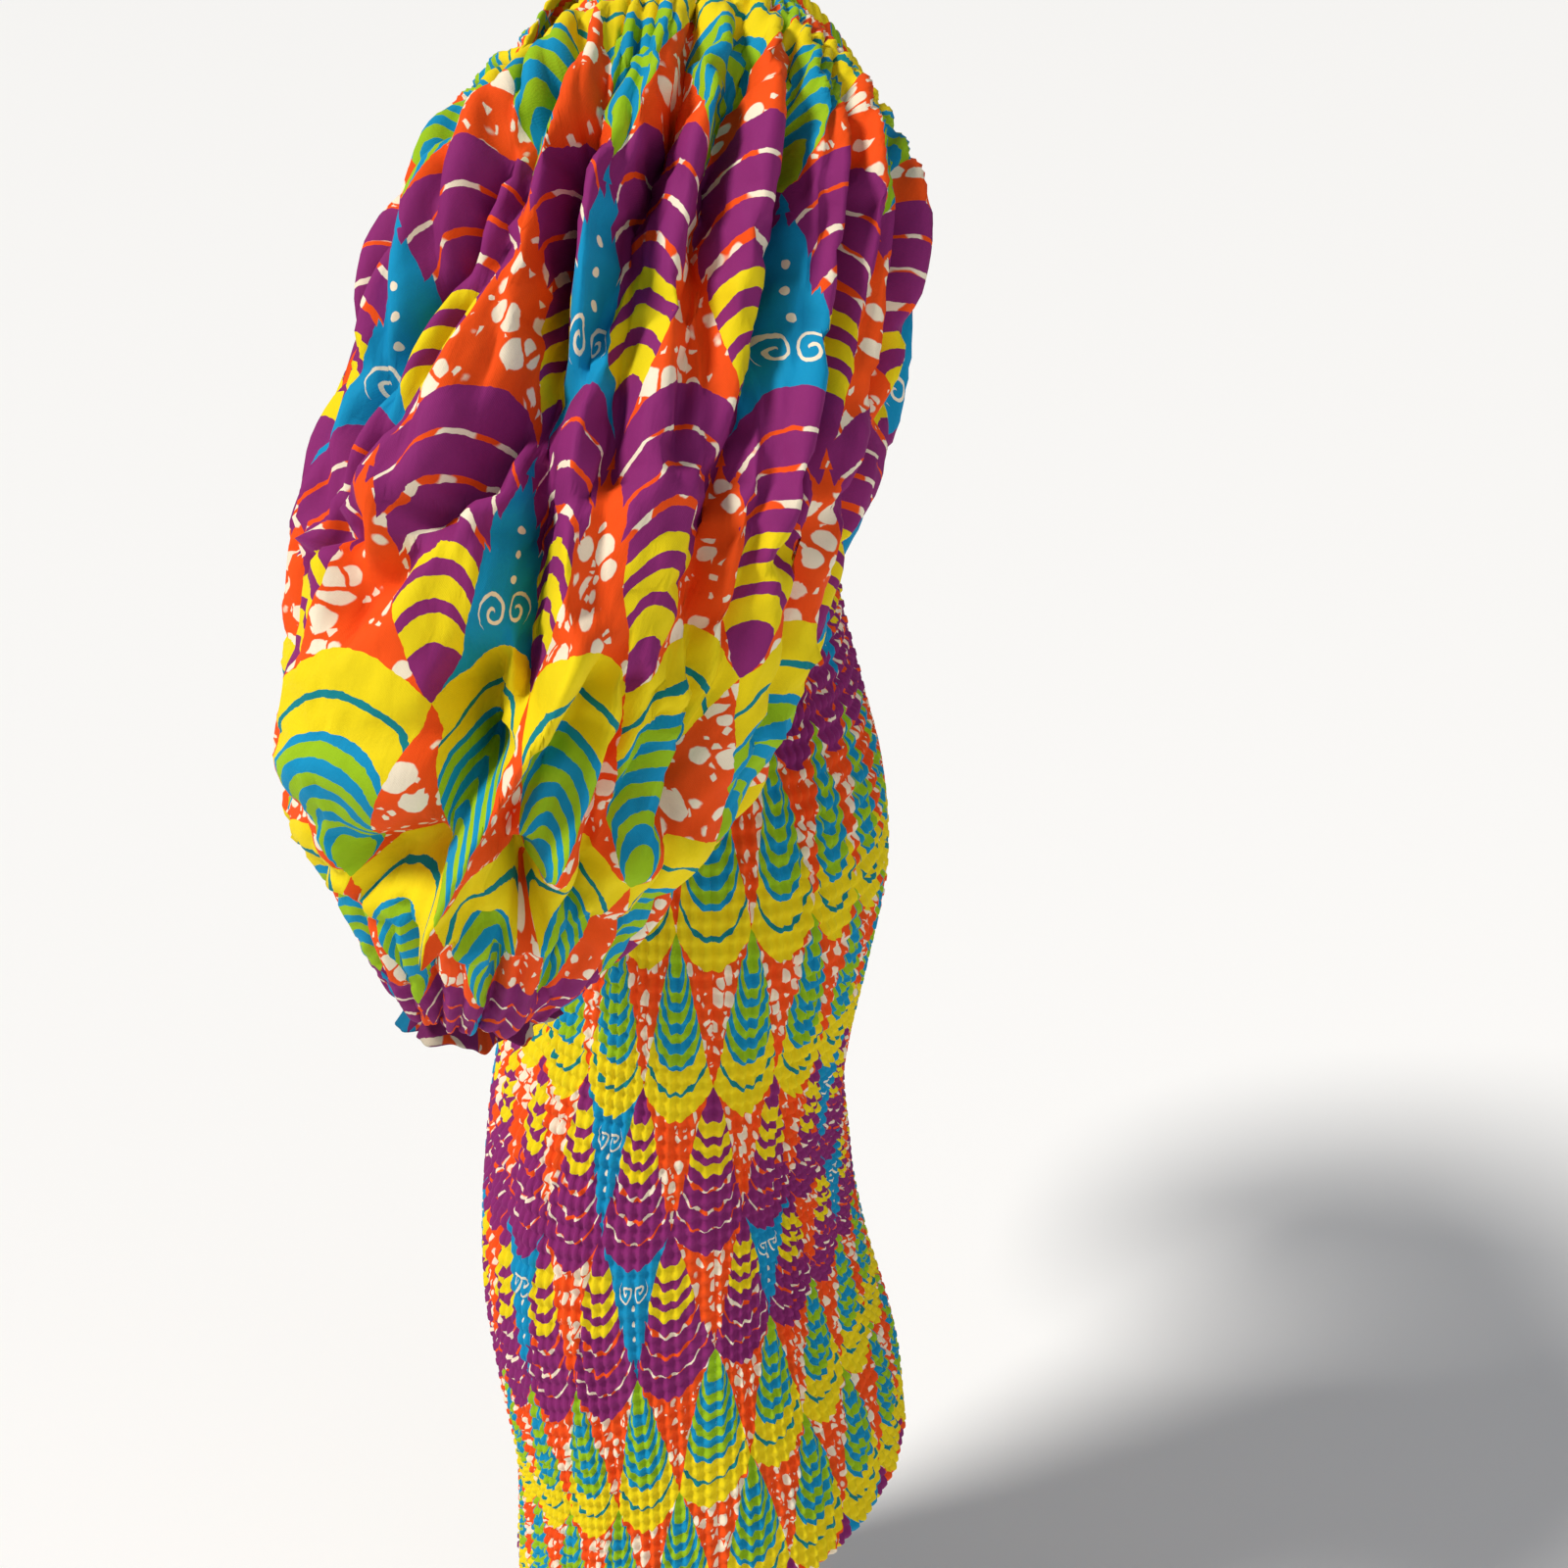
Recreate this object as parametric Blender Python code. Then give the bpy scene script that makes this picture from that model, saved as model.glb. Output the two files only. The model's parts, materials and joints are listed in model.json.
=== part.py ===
"""An ankara wax print dress as it is worn: a long shirred tube body and two balloon sleeves.

The body is a front and a back panel, joined at the sides. Rows of elastic thread gather it
all over, which raises a rib at each gather. Two very full sleeves are gathered into an elastic
casing that runs round the neck opening, over both shoulders, and into a narrow elastic cuff
with a frill at each wrist.

The dress keeps the hollow form that it has on a general figure. The figure's left is +X, its
front is -Y and up is +Z. The origin is the middle of the neck opening, where the shoulders
hold the dress. Heights in the tables are above the floor that the wearer would stand on.
All sizes are in metres.
"""

import math
from collections import namedtuple

import bmesh
import bpy
import numpy as np

# Cloth and seams
CLOTH = 0.002
SEAM_GAP = 0.0003
SEAM_SLACK = 0.0004
ORIGIN_HEIGHT = 1.33

# Neck opening: an elastic loop that is highest on the shoulders
NECK_HALF_WIDTH = 0.155
NECK_HALF_DEPTH = 0.125
NECK_SHOULDER_HEIGHT = 1.400
NECK_BACK_HEIGHT = 1.265
NECK_FRONT_HEIGHT = 1.238
NECK_ROUNDNESS = 0.75
NECK_DROP_POWER = 1.7
SLEEVE_NECK_ANGLE = math.radians(66)

# Armpit, at the top of each side seam
ARMPIT_OUT = 0.158
ARMPIT_HEIGHT = 1.200
RAGLAN_BOW_OUT = 0.150
RAGLAN_BOW_BACK = 0.080
RAGLAN_BOW_HEIGHT = 1.215
RAGLAN_SHARE = 0.58

# Shirring of the body
PANEL_COLUMNS = 56
RIB_DEPTH = 0.0028
RIB_AT_TOP = 0.1

# Sleeve
SLEEVE_COLUMNS = 80
SLEEVE_RAGLAN_ANGLE = math.radians(116)
SLEEVE_ROWS = (0.0, 0.05, 0.11, 0.18, 0.26, 0.34, 0.43, 0.52, 0.61, 0.70, 0.78, 0.86, 0.92, 0.965, 1.0)
GATHER_DEPTH = 0.0016
GATHER_FADE = 0.10
FOLD_GAIN = 1.25
RIGHT_LOWER = 0.022
RIGHT_FURTHER_BACK = 0.010

# Neckline casing and cuffs
CASING_HEIGHT = 0.012
CASING_INSET = 0.0008
CASING_THICKNESS = 0.0030
CASING_WAVES = 24
CASING_WAVE_DEPTH = 0.0008
CASING_COLUMNS = 96
CUFF_COLUMNS = 40
CUFF_WAVES = 10
CUFF_RADIUS = 0.031
CUFF_BAND_HEIGHT = 0.014
FRILL_DEPTH = 0.024
FRILL_FLARE = 0.012
FRILL_WAVE_DEPTH = 0.004

Section = namedtuple("Section", "name height half_width front back rise_to_back")
BODY_SECTIONS = (
    Section("hem", 0.265, 0.150, 0.145, 0.153, 0.45),
    Section("calf", 0.335, 0.150, 0.141, 0.144, 0.52),
    Section("below knee", 0.410, 0.149, 0.140, 0.125, 0.58),
    Section("knee", 0.490, 0.150, 0.149, 0.110, 0.58),
    Section("above knee", 0.565, 0.155, 0.156, 0.104, 0.42),
    Section("low thigh", 0.640, 0.163, 0.146, 0.099, 0.22),
    Section("thigh", 0.710, 0.172, 0.129, 0.105, 0.08),
    Section("seat fold", 0.775, 0.180, 0.118, 0.117, 0.02),
    Section("seat", 0.835, 0.184, 0.112, 0.127, 0.0),
    Section("hip", 0.895, 0.176, 0.110, 0.123, 0.0),
    Section("high hip", 0.955, 0.157, 0.105, 0.108, 0.0),
    Section("waist", 1.015, 0.136, 0.098, 0.094, 0.0),
    Section("rib", 1.075, 0.133, 0.103, 0.096, 0.0),
    Section("under bust", 1.130, 0.143, 0.122, 0.103, 0.0),
    Section("bust", 1.175, 0.151, 0.136, 0.112, 0.0),
)
BODY_SQUARENESS = 0.90

Ring = namedtuple("Ring", "name x y height half_x half_y rise_outside")
SLEEVE_RINGS = (
    Ring("shoulder", 0.232, -0.024, 1.273, 0.060, 0.128, 0.088),
    Ring("upper arm", 0.264, -0.050, 1.196, 0.090, 0.139, 0.062),
    Ring("mid arm", 0.292, -0.076, 1.126, 0.113, 0.140, 0.034),
    Ring("elbow", 0.302, -0.097, 1.056, 0.120, 0.131, 0.012),
    Ring("forearm", 0.302, -0.111, 0.992, 0.108, 0.106, 0.000),
    Ring("low forearm", 0.298, -0.117, 0.944, 0.086, 0.082, 0.000),
    Ring("overhang", 0.293, -0.125, 0.909, 0.063, 0.062, -0.005),
    Ring("underside", 0.290, -0.133, 0.893, 0.044, 0.044, -0.007),
    Ring("wrist", 0.288, -0.136, 0.909, CUFF_RADIUS, CUFF_RADIUS, 0.000),
)

Fold = namedtuple("Fold", "name top middle low deep_top deep_middle deep_low width")
FOLDS = (
    Fold("outer ridge", -6, 1, 6, 0.010, 0.016, 0.012, 9.0),
    Fold("outer lobe", 19, 29, 34, 0.014, 0.017, 0.010, 8.0),
    Fold("back lobe", 43, 46, 50, 0.012, 0.012, 0.014, 7.0),
    Fold("back ridge", 60, 64, 68, 0.012, 0.014, 0.010, 7.5),
    Fold("back edge", 82, 84, 86, 0.012, 0.010, 0.008, 8.0),
    Fold("behind the arm", 104, 105, 104, 0.010, 0.012, 0.010, 8.5),
    Fold("inner back", 126, 127, 124, 0.006, 0.009, 0.010, 8.0),
    Fold("inner back low", 147, 147, 145, 0.003, 0.007, 0.009, 7.5),
    Fold("armpit back", 166, 166, 166, 0.002, 0.005, 0.007, 7.0),
    Fold("armpit front", 195, 195, 194, 0.002, 0.005, 0.007, 7.0),
    Fold("inner front low", 214, 214, 216, 0.003, 0.007, 0.009, 7.5),
    Fold("inner front", 234, 233, 236, 0.006, 0.009, 0.010, 8.0),
    Fold("before the arm", 256, 252, 256, 0.010, 0.012, 0.011, 8.0),
    Fold("front edge", 279, 270, 274, 0.012, 0.010, 0.008, 8.0),
    Fold("long front roll", 301, 290, 298, 0.016, 0.018, 0.012, 9.5),
    Fold("front roll", 322, 315, 322, 0.014, 0.020, 0.018, 9.5),
    Fold("short roll", 338, 334, 340, 0.012, 0.003, 0.004, 6.0),
    Fold("sharp fold", 352, 346, 349, 0.004, 0.000, 0.016, 5.0),
    Fold("deep crease", 348, 343, 358, 0.000, -0.012, -0.010, 5.0),
    Fold("outer crease", 7, 15, 20, -0.006, -0.008, -0.004, 5.0),
)
FOLD_ROWS = (0.22, 0.52, 0.84)
FOLD_START = 0.03
FOLD_FULL = 0.24
FOLD_FADE = 0.88

PRINT_ORANGE = (0.90, 0.14, 0.02, 1.0)
PRINT_PURPLE = (0.18, 0.02, 0.13, 1.0)
PRINT_YELLOW = (0.83, 0.66, 0.02, 1.0)
PRINT_DARK = (0.09, 0.012, 0.065, 1.0)


def smooth_step(low, high, x):
    """0 below low, 1 above high, and a smooth rise between them."""
    t = np.clip((x - low) / (high - low), 0.0, 1.0)
    return t * t * (3.0 - 2.0 * t)


def signed_power(x, power):
    """The power of a number's size, with its own sign."""
    return np.sign(x) * np.abs(x) ** power


def neck_point(turn):
    """The neck loop at an angle in radians: 0 is the left shoulder and a quarter turn is the back."""
    cosine, sine = np.cos(turn), np.sin(turn)
    low = np.where(sine > 0, NECK_BACK_HEIGHT, NECK_FRONT_HEIGHT)
    rise = (NECK_SHOULDER_HEIGHT - low) * np.abs(cosine) ** NECK_DROP_POWER
    across = NECK_HALF_WIDTH * signed_power(cosine, NECK_ROUNDNESS)
    return np.stack([across, NECK_HALF_DEPTH * sine, low + rise - ORIGIN_HEIGHT], axis=-1)


def neck_up(turn):
    """The direction in which the cloth arrives at the neck loop, which is steep at the front and back."""
    across, along = -0.80 * np.cos(turn), -0.12 * np.sin(turn)
    rise = 0.62 + 0.36 * np.sin(turn) ** 2
    direction = np.stack([across, along, rise], axis=-1)
    return direction / np.linalg.norm(direction, axis=-1, keepdims=True)


def neck_out(turn):
    """The direction out of the cloth at the neck loop, square to the loop and to neck_up."""
    step = 1e-3
    along = neck_point(turn + step) - neck_point(turn - step)
    out = np.cross(along, neck_up(turn))
    return out / np.linalg.norm(out, axis=-1, keepdims=True)


def raglan_point(side, share):
    """A point of the raglan seam: share 0 is the armpit and 1 the neck loop; side is 1 for the back."""
    share = np.asarray(share, float)[..., None]
    armpit = np.array([ARMPIT_OUT, 0.0, ARMPIT_HEIGHT - ORIGIN_HEIGHT])
    bow = np.array([RAGLAN_BOW_OUT, side * RAGLAN_BOW_BACK, RAGLAN_BOW_HEIGHT - ORIGIN_HEIGHT])
    end = neck_point(np.array(side * SLEEVE_NECK_ANGLE))
    return (1 - share) ** 2 * armpit + 2 * share * (1 - share) * bow + share**2 * end


def body_top(turn):
    """The body's top edge at a column's angle: the raglan seams, with the neck loop between them."""
    turn = np.asarray(turn, float)
    side = np.where(np.sin(turn) >= 0, 1.0, -1.0)
    from_side = np.arccos(np.clip(np.abs(np.cos(turn)), 0, 1)) / (math.pi / 2)
    points = np.zeros(turn.shape + (3,))
    for index in np.ndindex(turn.shape):
        if from_side[index] < RAGLAN_SHARE:
            points[index] = raglan_point(side[index], from_side[index] / RAGLAN_SHARE)
        else:
            past = (from_side[index] - RAGLAN_SHARE) / (1 - RAGLAN_SHARE)
            angle = SLEEVE_NECK_ANGLE + past * (math.pi / 2 - SLEEVE_NECK_ANGLE)
            points[index] = neck_point(np.array(side[index] * angle))
        points[index][0] *= 1.0 if np.cos(turn[index]) >= 0 else -1.0
    return points


def section_ring(section, turn):
    """The body's outline at one section: a rounded oval whose back stands higher by rise_to_back."""
    depth = np.where(np.sin(turn) > 0, section.back, section.front)
    x = section.half_width * signed_power(np.cos(turn), BODY_SQUARENESS)
    y = depth * signed_power(np.sin(turn), BODY_SQUARENESS)
    z = section.height - ORIGIN_HEIGHT + section.rise_to_back * y
    return np.stack([x, y, z], axis=-1)


def through(rings, at):
    """Rows of points at the positions in at, on smooth curves that run through the rings."""
    last = len(rings) - 1
    padded = np.concatenate([2 * rings[:1] - rings[1:2], rings, 2 * rings[-1:] - rings[-2:-1]])
    whole = np.minimum(np.floor(at).astype(int), last - 1)
    t = (np.asarray(at) - whole).reshape(-1, *[1] * (rings.ndim - 1))
    a, b, c, d = (padded[whole + k] for k in range(4))
    return 0.5 * (
        2 * b + (c - a) * t + (2 * a - 5 * b + 4 * c - d) * t**2 + (3 * b - a - 3 * c + d) * t**3
    )


def outward(grid, closed):
    """Unit normals of a grid of rows and columns, from the steps between neighbouring points."""
    if closed:
        along = np.roll(grid, -1, axis=1) - np.roll(grid, 1, axis=1)
    else:
        along = np.gradient(grid, axis=1)
    normal = np.cross(along, np.gradient(grid, axis=0))
    return normal / np.linalg.norm(normal, axis=-1, keepdims=True)


def body_grid(turns):
    """The inner face of the body at these column angles, from the hem up to the top edge."""
    rings = np.stack([section_ring(s, turns) for s in BODY_SECTIONS] + [body_top(turns)])
    return through(rings, np.arange(len(rings), dtype=float))


def panel_walls(back):
    """The inner and outer faces of one body panel, with a shirred rib on each second column outside."""
    turns = np.linspace(0, math.pi, PANEL_COLUMNS + 1) + (0 if back else math.pi)
    inner = body_grid(turns)
    normal = outward(inner, closed=False)
    rows = np.linspace(0, 1, len(inner))[:, None]
    fade = 1 - (1 - RIB_AT_TOP) * smooth_step(0.90, 0.97, rows)
    rib = RIB_DEPTH * (np.arange(PANEL_COLUMNS + 1) % 2) * fade
    outer = inner + normal * (CLOTH + rib)[..., None]
    side = 1.0 if back else -1.0
    for face in (inner, outer):
        face[:, [0, -1], 1] = side * SEAM_GAP / 2
    return inner[:, ::2], outer


def sleeve_start(turns):
    """The sleeve's first ring: the neck loop on its outside, and the two raglan seams below it."""
    turn = (turns + math.pi) % (2 * math.pi) - math.pi
    points = np.zeros(turn.shape + (3,))
    for i, angle in enumerate(turn):
        if abs(angle) <= SLEEVE_RAGLAN_ANGLE:
            points[i] = neck_point(np.array(angle / SLEEVE_RAGLAN_ANGLE * SLEEVE_NECK_ANGLE))
        else:
            share = (math.pi - abs(angle)) / (math.pi - SLEEVE_RAGLAN_ANGLE)
            points[i] = raglan_point(math.copysign(1, angle), share)
    return points


def sleeve_lap(turns):
    """How far and which way the sleeve's first ring is moved out, so that it laps over the body."""
    turn = (turns + math.pi) % (2 * math.pi) - math.pi
    seam = smooth_step(SLEEVE_RAGLAN_ANGLE - 0.45, SLEEVE_RAGLAN_ANGLE - 0.05, np.abs(turn))
    neck_turn = np.clip(turn / SLEEVE_RAGLAN_ANGLE, -1, 1) * SLEEVE_NECK_ANGLE
    level = sleeve_start(turns) * np.array([1.0, 1.45, 0.0])
    level /= np.linalg.norm(level, axis=-1, keepdims=True)
    way = (1 - seam)[:, None] * neck_out(neck_turn) + seam[:, None] * level
    way /= np.linalg.norm(way, axis=-1, keepdims=True)
    over_casing_foot = CASING_INSET + CLOTH
    over_body = 2 * CLOTH + SEAM_GAP + SEAM_SLACK
    return way * (over_casing_foot + seam * (over_body - over_casing_foot))[:, None]


def sleeve_ring(ring, turns):
    """One ring of the sleeve: an oval whose outer side stands higher by rise_outside."""
    x = ring.x + ring.half_x * np.cos(turns)
    y = ring.y + ring.half_y * np.sin(turns)
    z = ring.height - ORIGIN_HEIGHT + ring.rise_outside * np.cos(turns)
    return np.stack([x, y, z], axis=-1)


def sleeve_base(turns, rows, right=False):
    """The sleeve with no folds. Rows run from 0 at the neck and armhole to 1 at the wrist.

    The right sleeve sits a little lower and further back between its two ends.
    """
    start = sleeve_start(turns) + sleeve_lap(turns)
    rings = np.stack([start] + [sleeve_ring(ring, turns) for ring in SLEEVE_RINGS])
    steps = np.linalg.norm(np.diff(rings, axis=0), axis=-1).mean(axis=1)
    length = np.concatenate([[0], np.cumsum(steps)]) / steps.sum()
    at = np.interp(rows, length, np.arange(len(rings), dtype=float))
    base = through(rings, at)
    if right:
        settle = smooth_step(0.0, 0.12, rows) * (1 - smooth_step(0.30, 0.80, rows))
        base = base + settle[:, None, None] * np.array([0.0, RIGHT_FURTHER_BACK, -RIGHT_LOWER])
    return base


def fold_depth(turns, rows):
    """How far the folds stand out: each is a rounded ridge whose place drifts from top to low."""
    degrees = np.degrees(turns)[None, :]
    row = rows[:, None]
    depth = np.zeros((len(rows), len(turns)))
    for fold in FOLDS:
        place = np.interp(row, FOLD_ROWS, [fold.top, fold.middle, fold.low])
        deep = np.interp(row, FOLD_ROWS, [fold.deep_top, fold.deep_middle, fold.deep_low])
        away = (degrees - place + 180) % 360 - 180
        depth += deep * np.exp(-((away / fold.width) ** 2))
    depth -= depth.mean(axis=1, keepdims=True)
    swell = smooth_step(FOLD_START, FOLD_FULL, row) * (1 - smooth_step(FOLD_FADE, 1.0, row))
    return FOLD_GAIN * depth * swell


def sleeve_walls(right):
    """The inner and outer faces of a sleeve, with folds, and gathers at both ends."""
    turns = np.arange(SLEEVE_COLUMNS) * 2 * math.pi / SLEEVE_COLUMNS
    rows = np.array(SLEEVE_ROWS)
    base = sleeve_base(turns, rows, right)
    normal = -outward(base, closed=True)
    near_end = np.maximum(
        smooth_step(0.0, 0.03, rows) * (1 - smooth_step(GATHER_FADE, 3 * GATHER_FADE, rows)),
        smooth_step(1 - 2 * GATHER_FADE, 1 - GATHER_FADE, rows) * (rows < 1),
    )
    gathered = np.abs((turns + math.pi) % (2 * math.pi) - math.pi) < SLEEVE_RAGLAN_ANGLE
    parity = 2.0 * (np.arange(SLEEVE_COLUMNS) % 2) - 1.0
    gather = GATHER_DEPTH * near_end[:, None] * (parity * gathered)[None, :]
    outer = base + normal * (fold_depth(turns, rows) + gather)[..., None]
    return outer - normal * CLOTH, outer


def cuff_walls(right):
    """The inner and outer faces of a cuff: an elastic band, then a frill that flares."""
    turns = np.arange(CUFF_COLUMNS) * 2 * math.pi / CUFF_COLUMNS
    wrist = SLEEVE_RINGS[-1]
    top = wrist.height - ORIGIN_HEIGHT - SEAM_GAP - SEAM_SLACK
    drops = np.array([0.0, 0.5 * CUFF_BAND_HEIGHT, CUFF_BAND_HEIGHT, CUFF_BAND_HEIGHT + FRILL_DEPTH])
    flare = np.array([0.0, -0.001, 0.0, FRILL_FLARE])
    wave = np.array([0.0, 0.1, 0.25, 1.0]) * FRILL_WAVE_DEPTH
    radius = CUFF_RADIUS + flare[:, None] + wave[:, None] * np.cos(CUFF_WAVES * turns)[None, :]
    faces = []
    for inset in (CLOTH, 0.0):
        x = wrist.x + (radius - inset) * np.cos(turns)
        y = wrist.y + (radius - inset) * np.sin(turns)
        z = np.broadcast_to((top - drops)[:, None], x.shape)
        faces.append(np.stack([x, y, z], axis=-1))
    return faces


def casing_walls():
    """The inner and outer faces of the elastic casing, which stands on the top edges all round."""
    turns = np.arange(CASING_COLUMNS) * 2 * math.pi / CASING_COLUMNS
    loop, up, out = neck_point(turns), neck_up(turns), neck_out(turns)
    wave = CASING_WAVE_DEPTH * (1 + np.cos(CASING_WAVES * turns))[:, None]
    foot = loop + up * (SEAM_GAP + SEAM_SLACK)
    head = foot + up * CASING_HEIGHT
    middle = 0.5 * (foot + head)
    puff = np.array([0.2, 1.0, 0.8])[:, None, None]
    inner = np.stack([foot, middle, head]) + out * (CASING_INSET + puff * wave)
    return inner, inner + out * CASING_THICKNESS


def join_rims(faces, fine, coarse):
    """Faces of a strip between two lines of points, where the fine line has a multiple of the steps."""
    times = (len(fine) - 1) // (len(coarse) - 1)
    for j in range(len(coarse) - 1):
        run = fine[j * times : (j + 1) * times + 1]
        half = times // 2
        for k in range(times):
            hub = coarse[j] if k < half or times == 1 else coarse[j + 1]
            faces.append((run[k], run[k + 1], hub))
        faces.append((run[half if times > 1 else 1], coarse[j + 1], coarse[j]))


def sheet_faces(faces, index, flip):
    """Quads of a grid of point numbers, turned over where flip is true."""
    for i in range(index.shape[0] - 1):
        for j in range(index.shape[1] - 1):
            quad = (index[i, j], index[i, j + 1], index[i + 1, j + 1], index[i + 1, j])
            faces.append(quad[::-1] if flip else quad)


def wall_object(name, inner, outer, closed, colour):
    """One solid wall between two grids, closed round its columns or with a strip on each side."""
    rows = len(outer)
    inner_index = np.arange(inner[..., 0].size).reshape(inner.shape[:2])
    outer_index = np.arange(outer[..., 0].size).reshape(outer.shape[:2]) + inner_index.size
    if closed:
        inner_index = np.concatenate([inner_index, inner_index[:, :1]], axis=1)
        outer_index = np.concatenate([outer_index, outer_index[:, :1]], axis=1)
    faces = []
    sheet_faces(faces, outer_index, flip=False)
    sheet_faces(faces, inner_index, flip=True)
    for row in (0, rows - 1):
        join_rims(faces, list(outer_index[row]), list(inner_index[row]))
    if not closed:
        for column in (0, -1):
            join_rims(faces, list(outer_index[:, column]), list(inner_index[:, column]))
    mesh = bpy.data.meshes.new(name)
    points = np.concatenate([inner.reshape(-1, 3), outer.reshape(-1, 3)])
    mesh.from_pydata(points.tolist(), [], [tuple(int(v) for v in face) for face in faces])
    shaped = bmesh.new()
    shaped.from_mesh(mesh)
    bmesh.ops.triangulate(shaped, faces=shaped.faces[:], quad_method="SHORT_EDGE")
    bmesh.ops.recalc_face_normals(shaped, faces=shaped.faces[:])
    shaped.to_mesh(mesh)
    shaped.free()
    mesh.shade_smooth()
    mesh.materials.append(colour)
    obj = bpy.data.objects.new(name, mesh)
    bpy.context.scene.collection.objects.link(obj)
    return obj


def cloth_material(name, colour):
    """Printed cotton: matt, with the print's leading colour."""
    material = bpy.data.materials.new(name)
    material.use_nodes = True
    shader = material.node_tree.nodes["Principled BSDF"]
    shader.inputs["Base Color"].default_value = colour
    shader.inputs["Roughness"].default_value = 0.8
    shader.inputs["Metallic"].default_value = 0.0
    return material


def mirrored(grid):
    """The same points on the figure's right side."""
    return grid * np.array([-1.0, 1.0, 1.0])


def main():
    """Clears the scene and builds every piece of the dress."""
    for old in list(bpy.data.objects):
        bpy.data.objects.remove(old)
    shirred = cloth_material("shirred_body_cloth", PRINT_ORANGE)
    full = cloth_material("sleeve_cloth", PRINT_PURPLE)
    casing = cloth_material("casing_cloth", PRINT_YELLOW)
    narrow = cloth_material("cuff_cloth", PRINT_DARK)
    for name, back in (("body_front", False), ("body_back", True)):
        inner, outer = panel_walls(back)
        wall_object(name, inner, outer, closed=False, colour=shirred)
    inner, outer = casing_walls()
    wall_object("neckline_casing", inner, outer, closed=True, colour=casing)
    for side in ("left", "right"):
        for part, walls, colour in (("sleeve", sleeve_walls, full), ("cuff", cuff_walls, narrow)):
            inner, outer = walls(side == "right")
            if side == "right":
                inner, outer = mirrored(inner), mirrored(outer)
            wall_object(f"{part}_{side}", inner, outer, closed=True, colour=colour)


main()
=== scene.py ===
# %% [markdown]
# # An ankara wax print dress
# The real dress is a long tube of printed cotton that rows of elastic thread gather all over, with
# two very full sleeves. The sleeves are gathered into an elastic casing round the neck and into a
# narrow frilled cuff at each wrist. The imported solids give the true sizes, so the script starts by
# loading them, and every visible piece is then made as a thin cloth surface over its own solid.

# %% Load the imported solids
import json
import math

import bpy
import numpy as np
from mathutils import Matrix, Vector

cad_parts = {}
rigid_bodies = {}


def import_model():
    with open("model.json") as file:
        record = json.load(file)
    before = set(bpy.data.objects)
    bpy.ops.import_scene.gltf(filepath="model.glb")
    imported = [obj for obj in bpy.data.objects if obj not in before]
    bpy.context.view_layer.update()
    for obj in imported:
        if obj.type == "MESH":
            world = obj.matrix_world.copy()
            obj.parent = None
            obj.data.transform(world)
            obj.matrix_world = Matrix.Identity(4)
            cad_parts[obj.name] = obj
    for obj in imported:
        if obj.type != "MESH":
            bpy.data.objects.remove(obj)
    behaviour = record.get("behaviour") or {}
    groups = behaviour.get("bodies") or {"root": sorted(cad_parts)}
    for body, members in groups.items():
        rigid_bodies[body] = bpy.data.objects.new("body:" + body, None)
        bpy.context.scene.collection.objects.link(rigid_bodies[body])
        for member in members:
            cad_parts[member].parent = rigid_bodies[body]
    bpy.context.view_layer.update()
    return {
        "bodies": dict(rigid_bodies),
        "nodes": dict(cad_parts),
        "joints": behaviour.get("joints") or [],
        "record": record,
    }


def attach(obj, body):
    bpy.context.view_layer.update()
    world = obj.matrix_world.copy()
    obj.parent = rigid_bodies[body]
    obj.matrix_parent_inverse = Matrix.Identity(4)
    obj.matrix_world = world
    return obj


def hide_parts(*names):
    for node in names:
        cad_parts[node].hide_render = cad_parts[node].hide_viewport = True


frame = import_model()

print("solids:", sorted(frame["nodes"]))

# %% [markdown]
# ## Sizes of the cut and of the worn form
# A dressmaker works from flat sizes, and the worn form follows from the figure inside. Both are kept
# here as named numbers and as tables with one row for each level of the body or ring of the sleeve.
# Heights are above the floor, and the part's own origin is in the neck opening, 1.33 m up.

# %% Sizes and tables
ORIGIN_HEIGHT = 1.33
NECK_HALF_WIDTH, NECK_HALF_DEPTH = 0.155, 0.125
NECK_SHOULDER_HEIGHT, NECK_BACK_HEIGHT, NECK_FRONT_HEIGHT = 1.400, 1.265, 1.238
NECK_ROUNDNESS, NECK_DROP_POWER = 0.75, 1.7
SLEEVE_NECK_ANGLE = math.radians(66)
SLEEVE_RAGLAN_ANGLE = math.radians(116)
ARMPIT = np.array([0.158, 0.0, 1.200 - ORIGIN_HEIGHT])
RAGLAN_BOW = np.array([0.150, 0.080, 1.215 - ORIGIN_HEIGHT])
RAGLAN_SHARE = 0.58
BODY_SQUARENESS = 0.90
CUFF_RADIUS, CUFF_BAND_HEIGHT, FRILL_DEPTH, FRILL_FLARE = 0.031, 0.014, 0.024, 0.012

# height, half width, depth to the front, depth to the back, rise towards the back
BODY_SECTIONS = np.array([
    (0.265, 0.150, 0.145, 0.153, 0.45), (0.335, 0.150, 0.141, 0.144, 0.52),
    (0.410, 0.149, 0.140, 0.125, 0.58), (0.490, 0.150, 0.149, 0.110, 0.58),
    (0.565, 0.155, 0.156, 0.104, 0.42), (0.640, 0.163, 0.146, 0.099, 0.22),
    (0.710, 0.172, 0.129, 0.105, 0.08), (0.775, 0.180, 0.118, 0.117, 0.02),
    (0.835, 0.184, 0.112, 0.127, 0.00), (0.895, 0.176, 0.110, 0.123, 0.00),
    (0.955, 0.157, 0.105, 0.108, 0.00), (1.015, 0.136, 0.098, 0.094, 0.00),
    (1.075, 0.133, 0.103, 0.096, 0.00), (1.130, 0.143, 0.122, 0.103, 0.00),
    (1.175, 0.151, 0.136, 0.112, 0.00),
])

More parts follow.
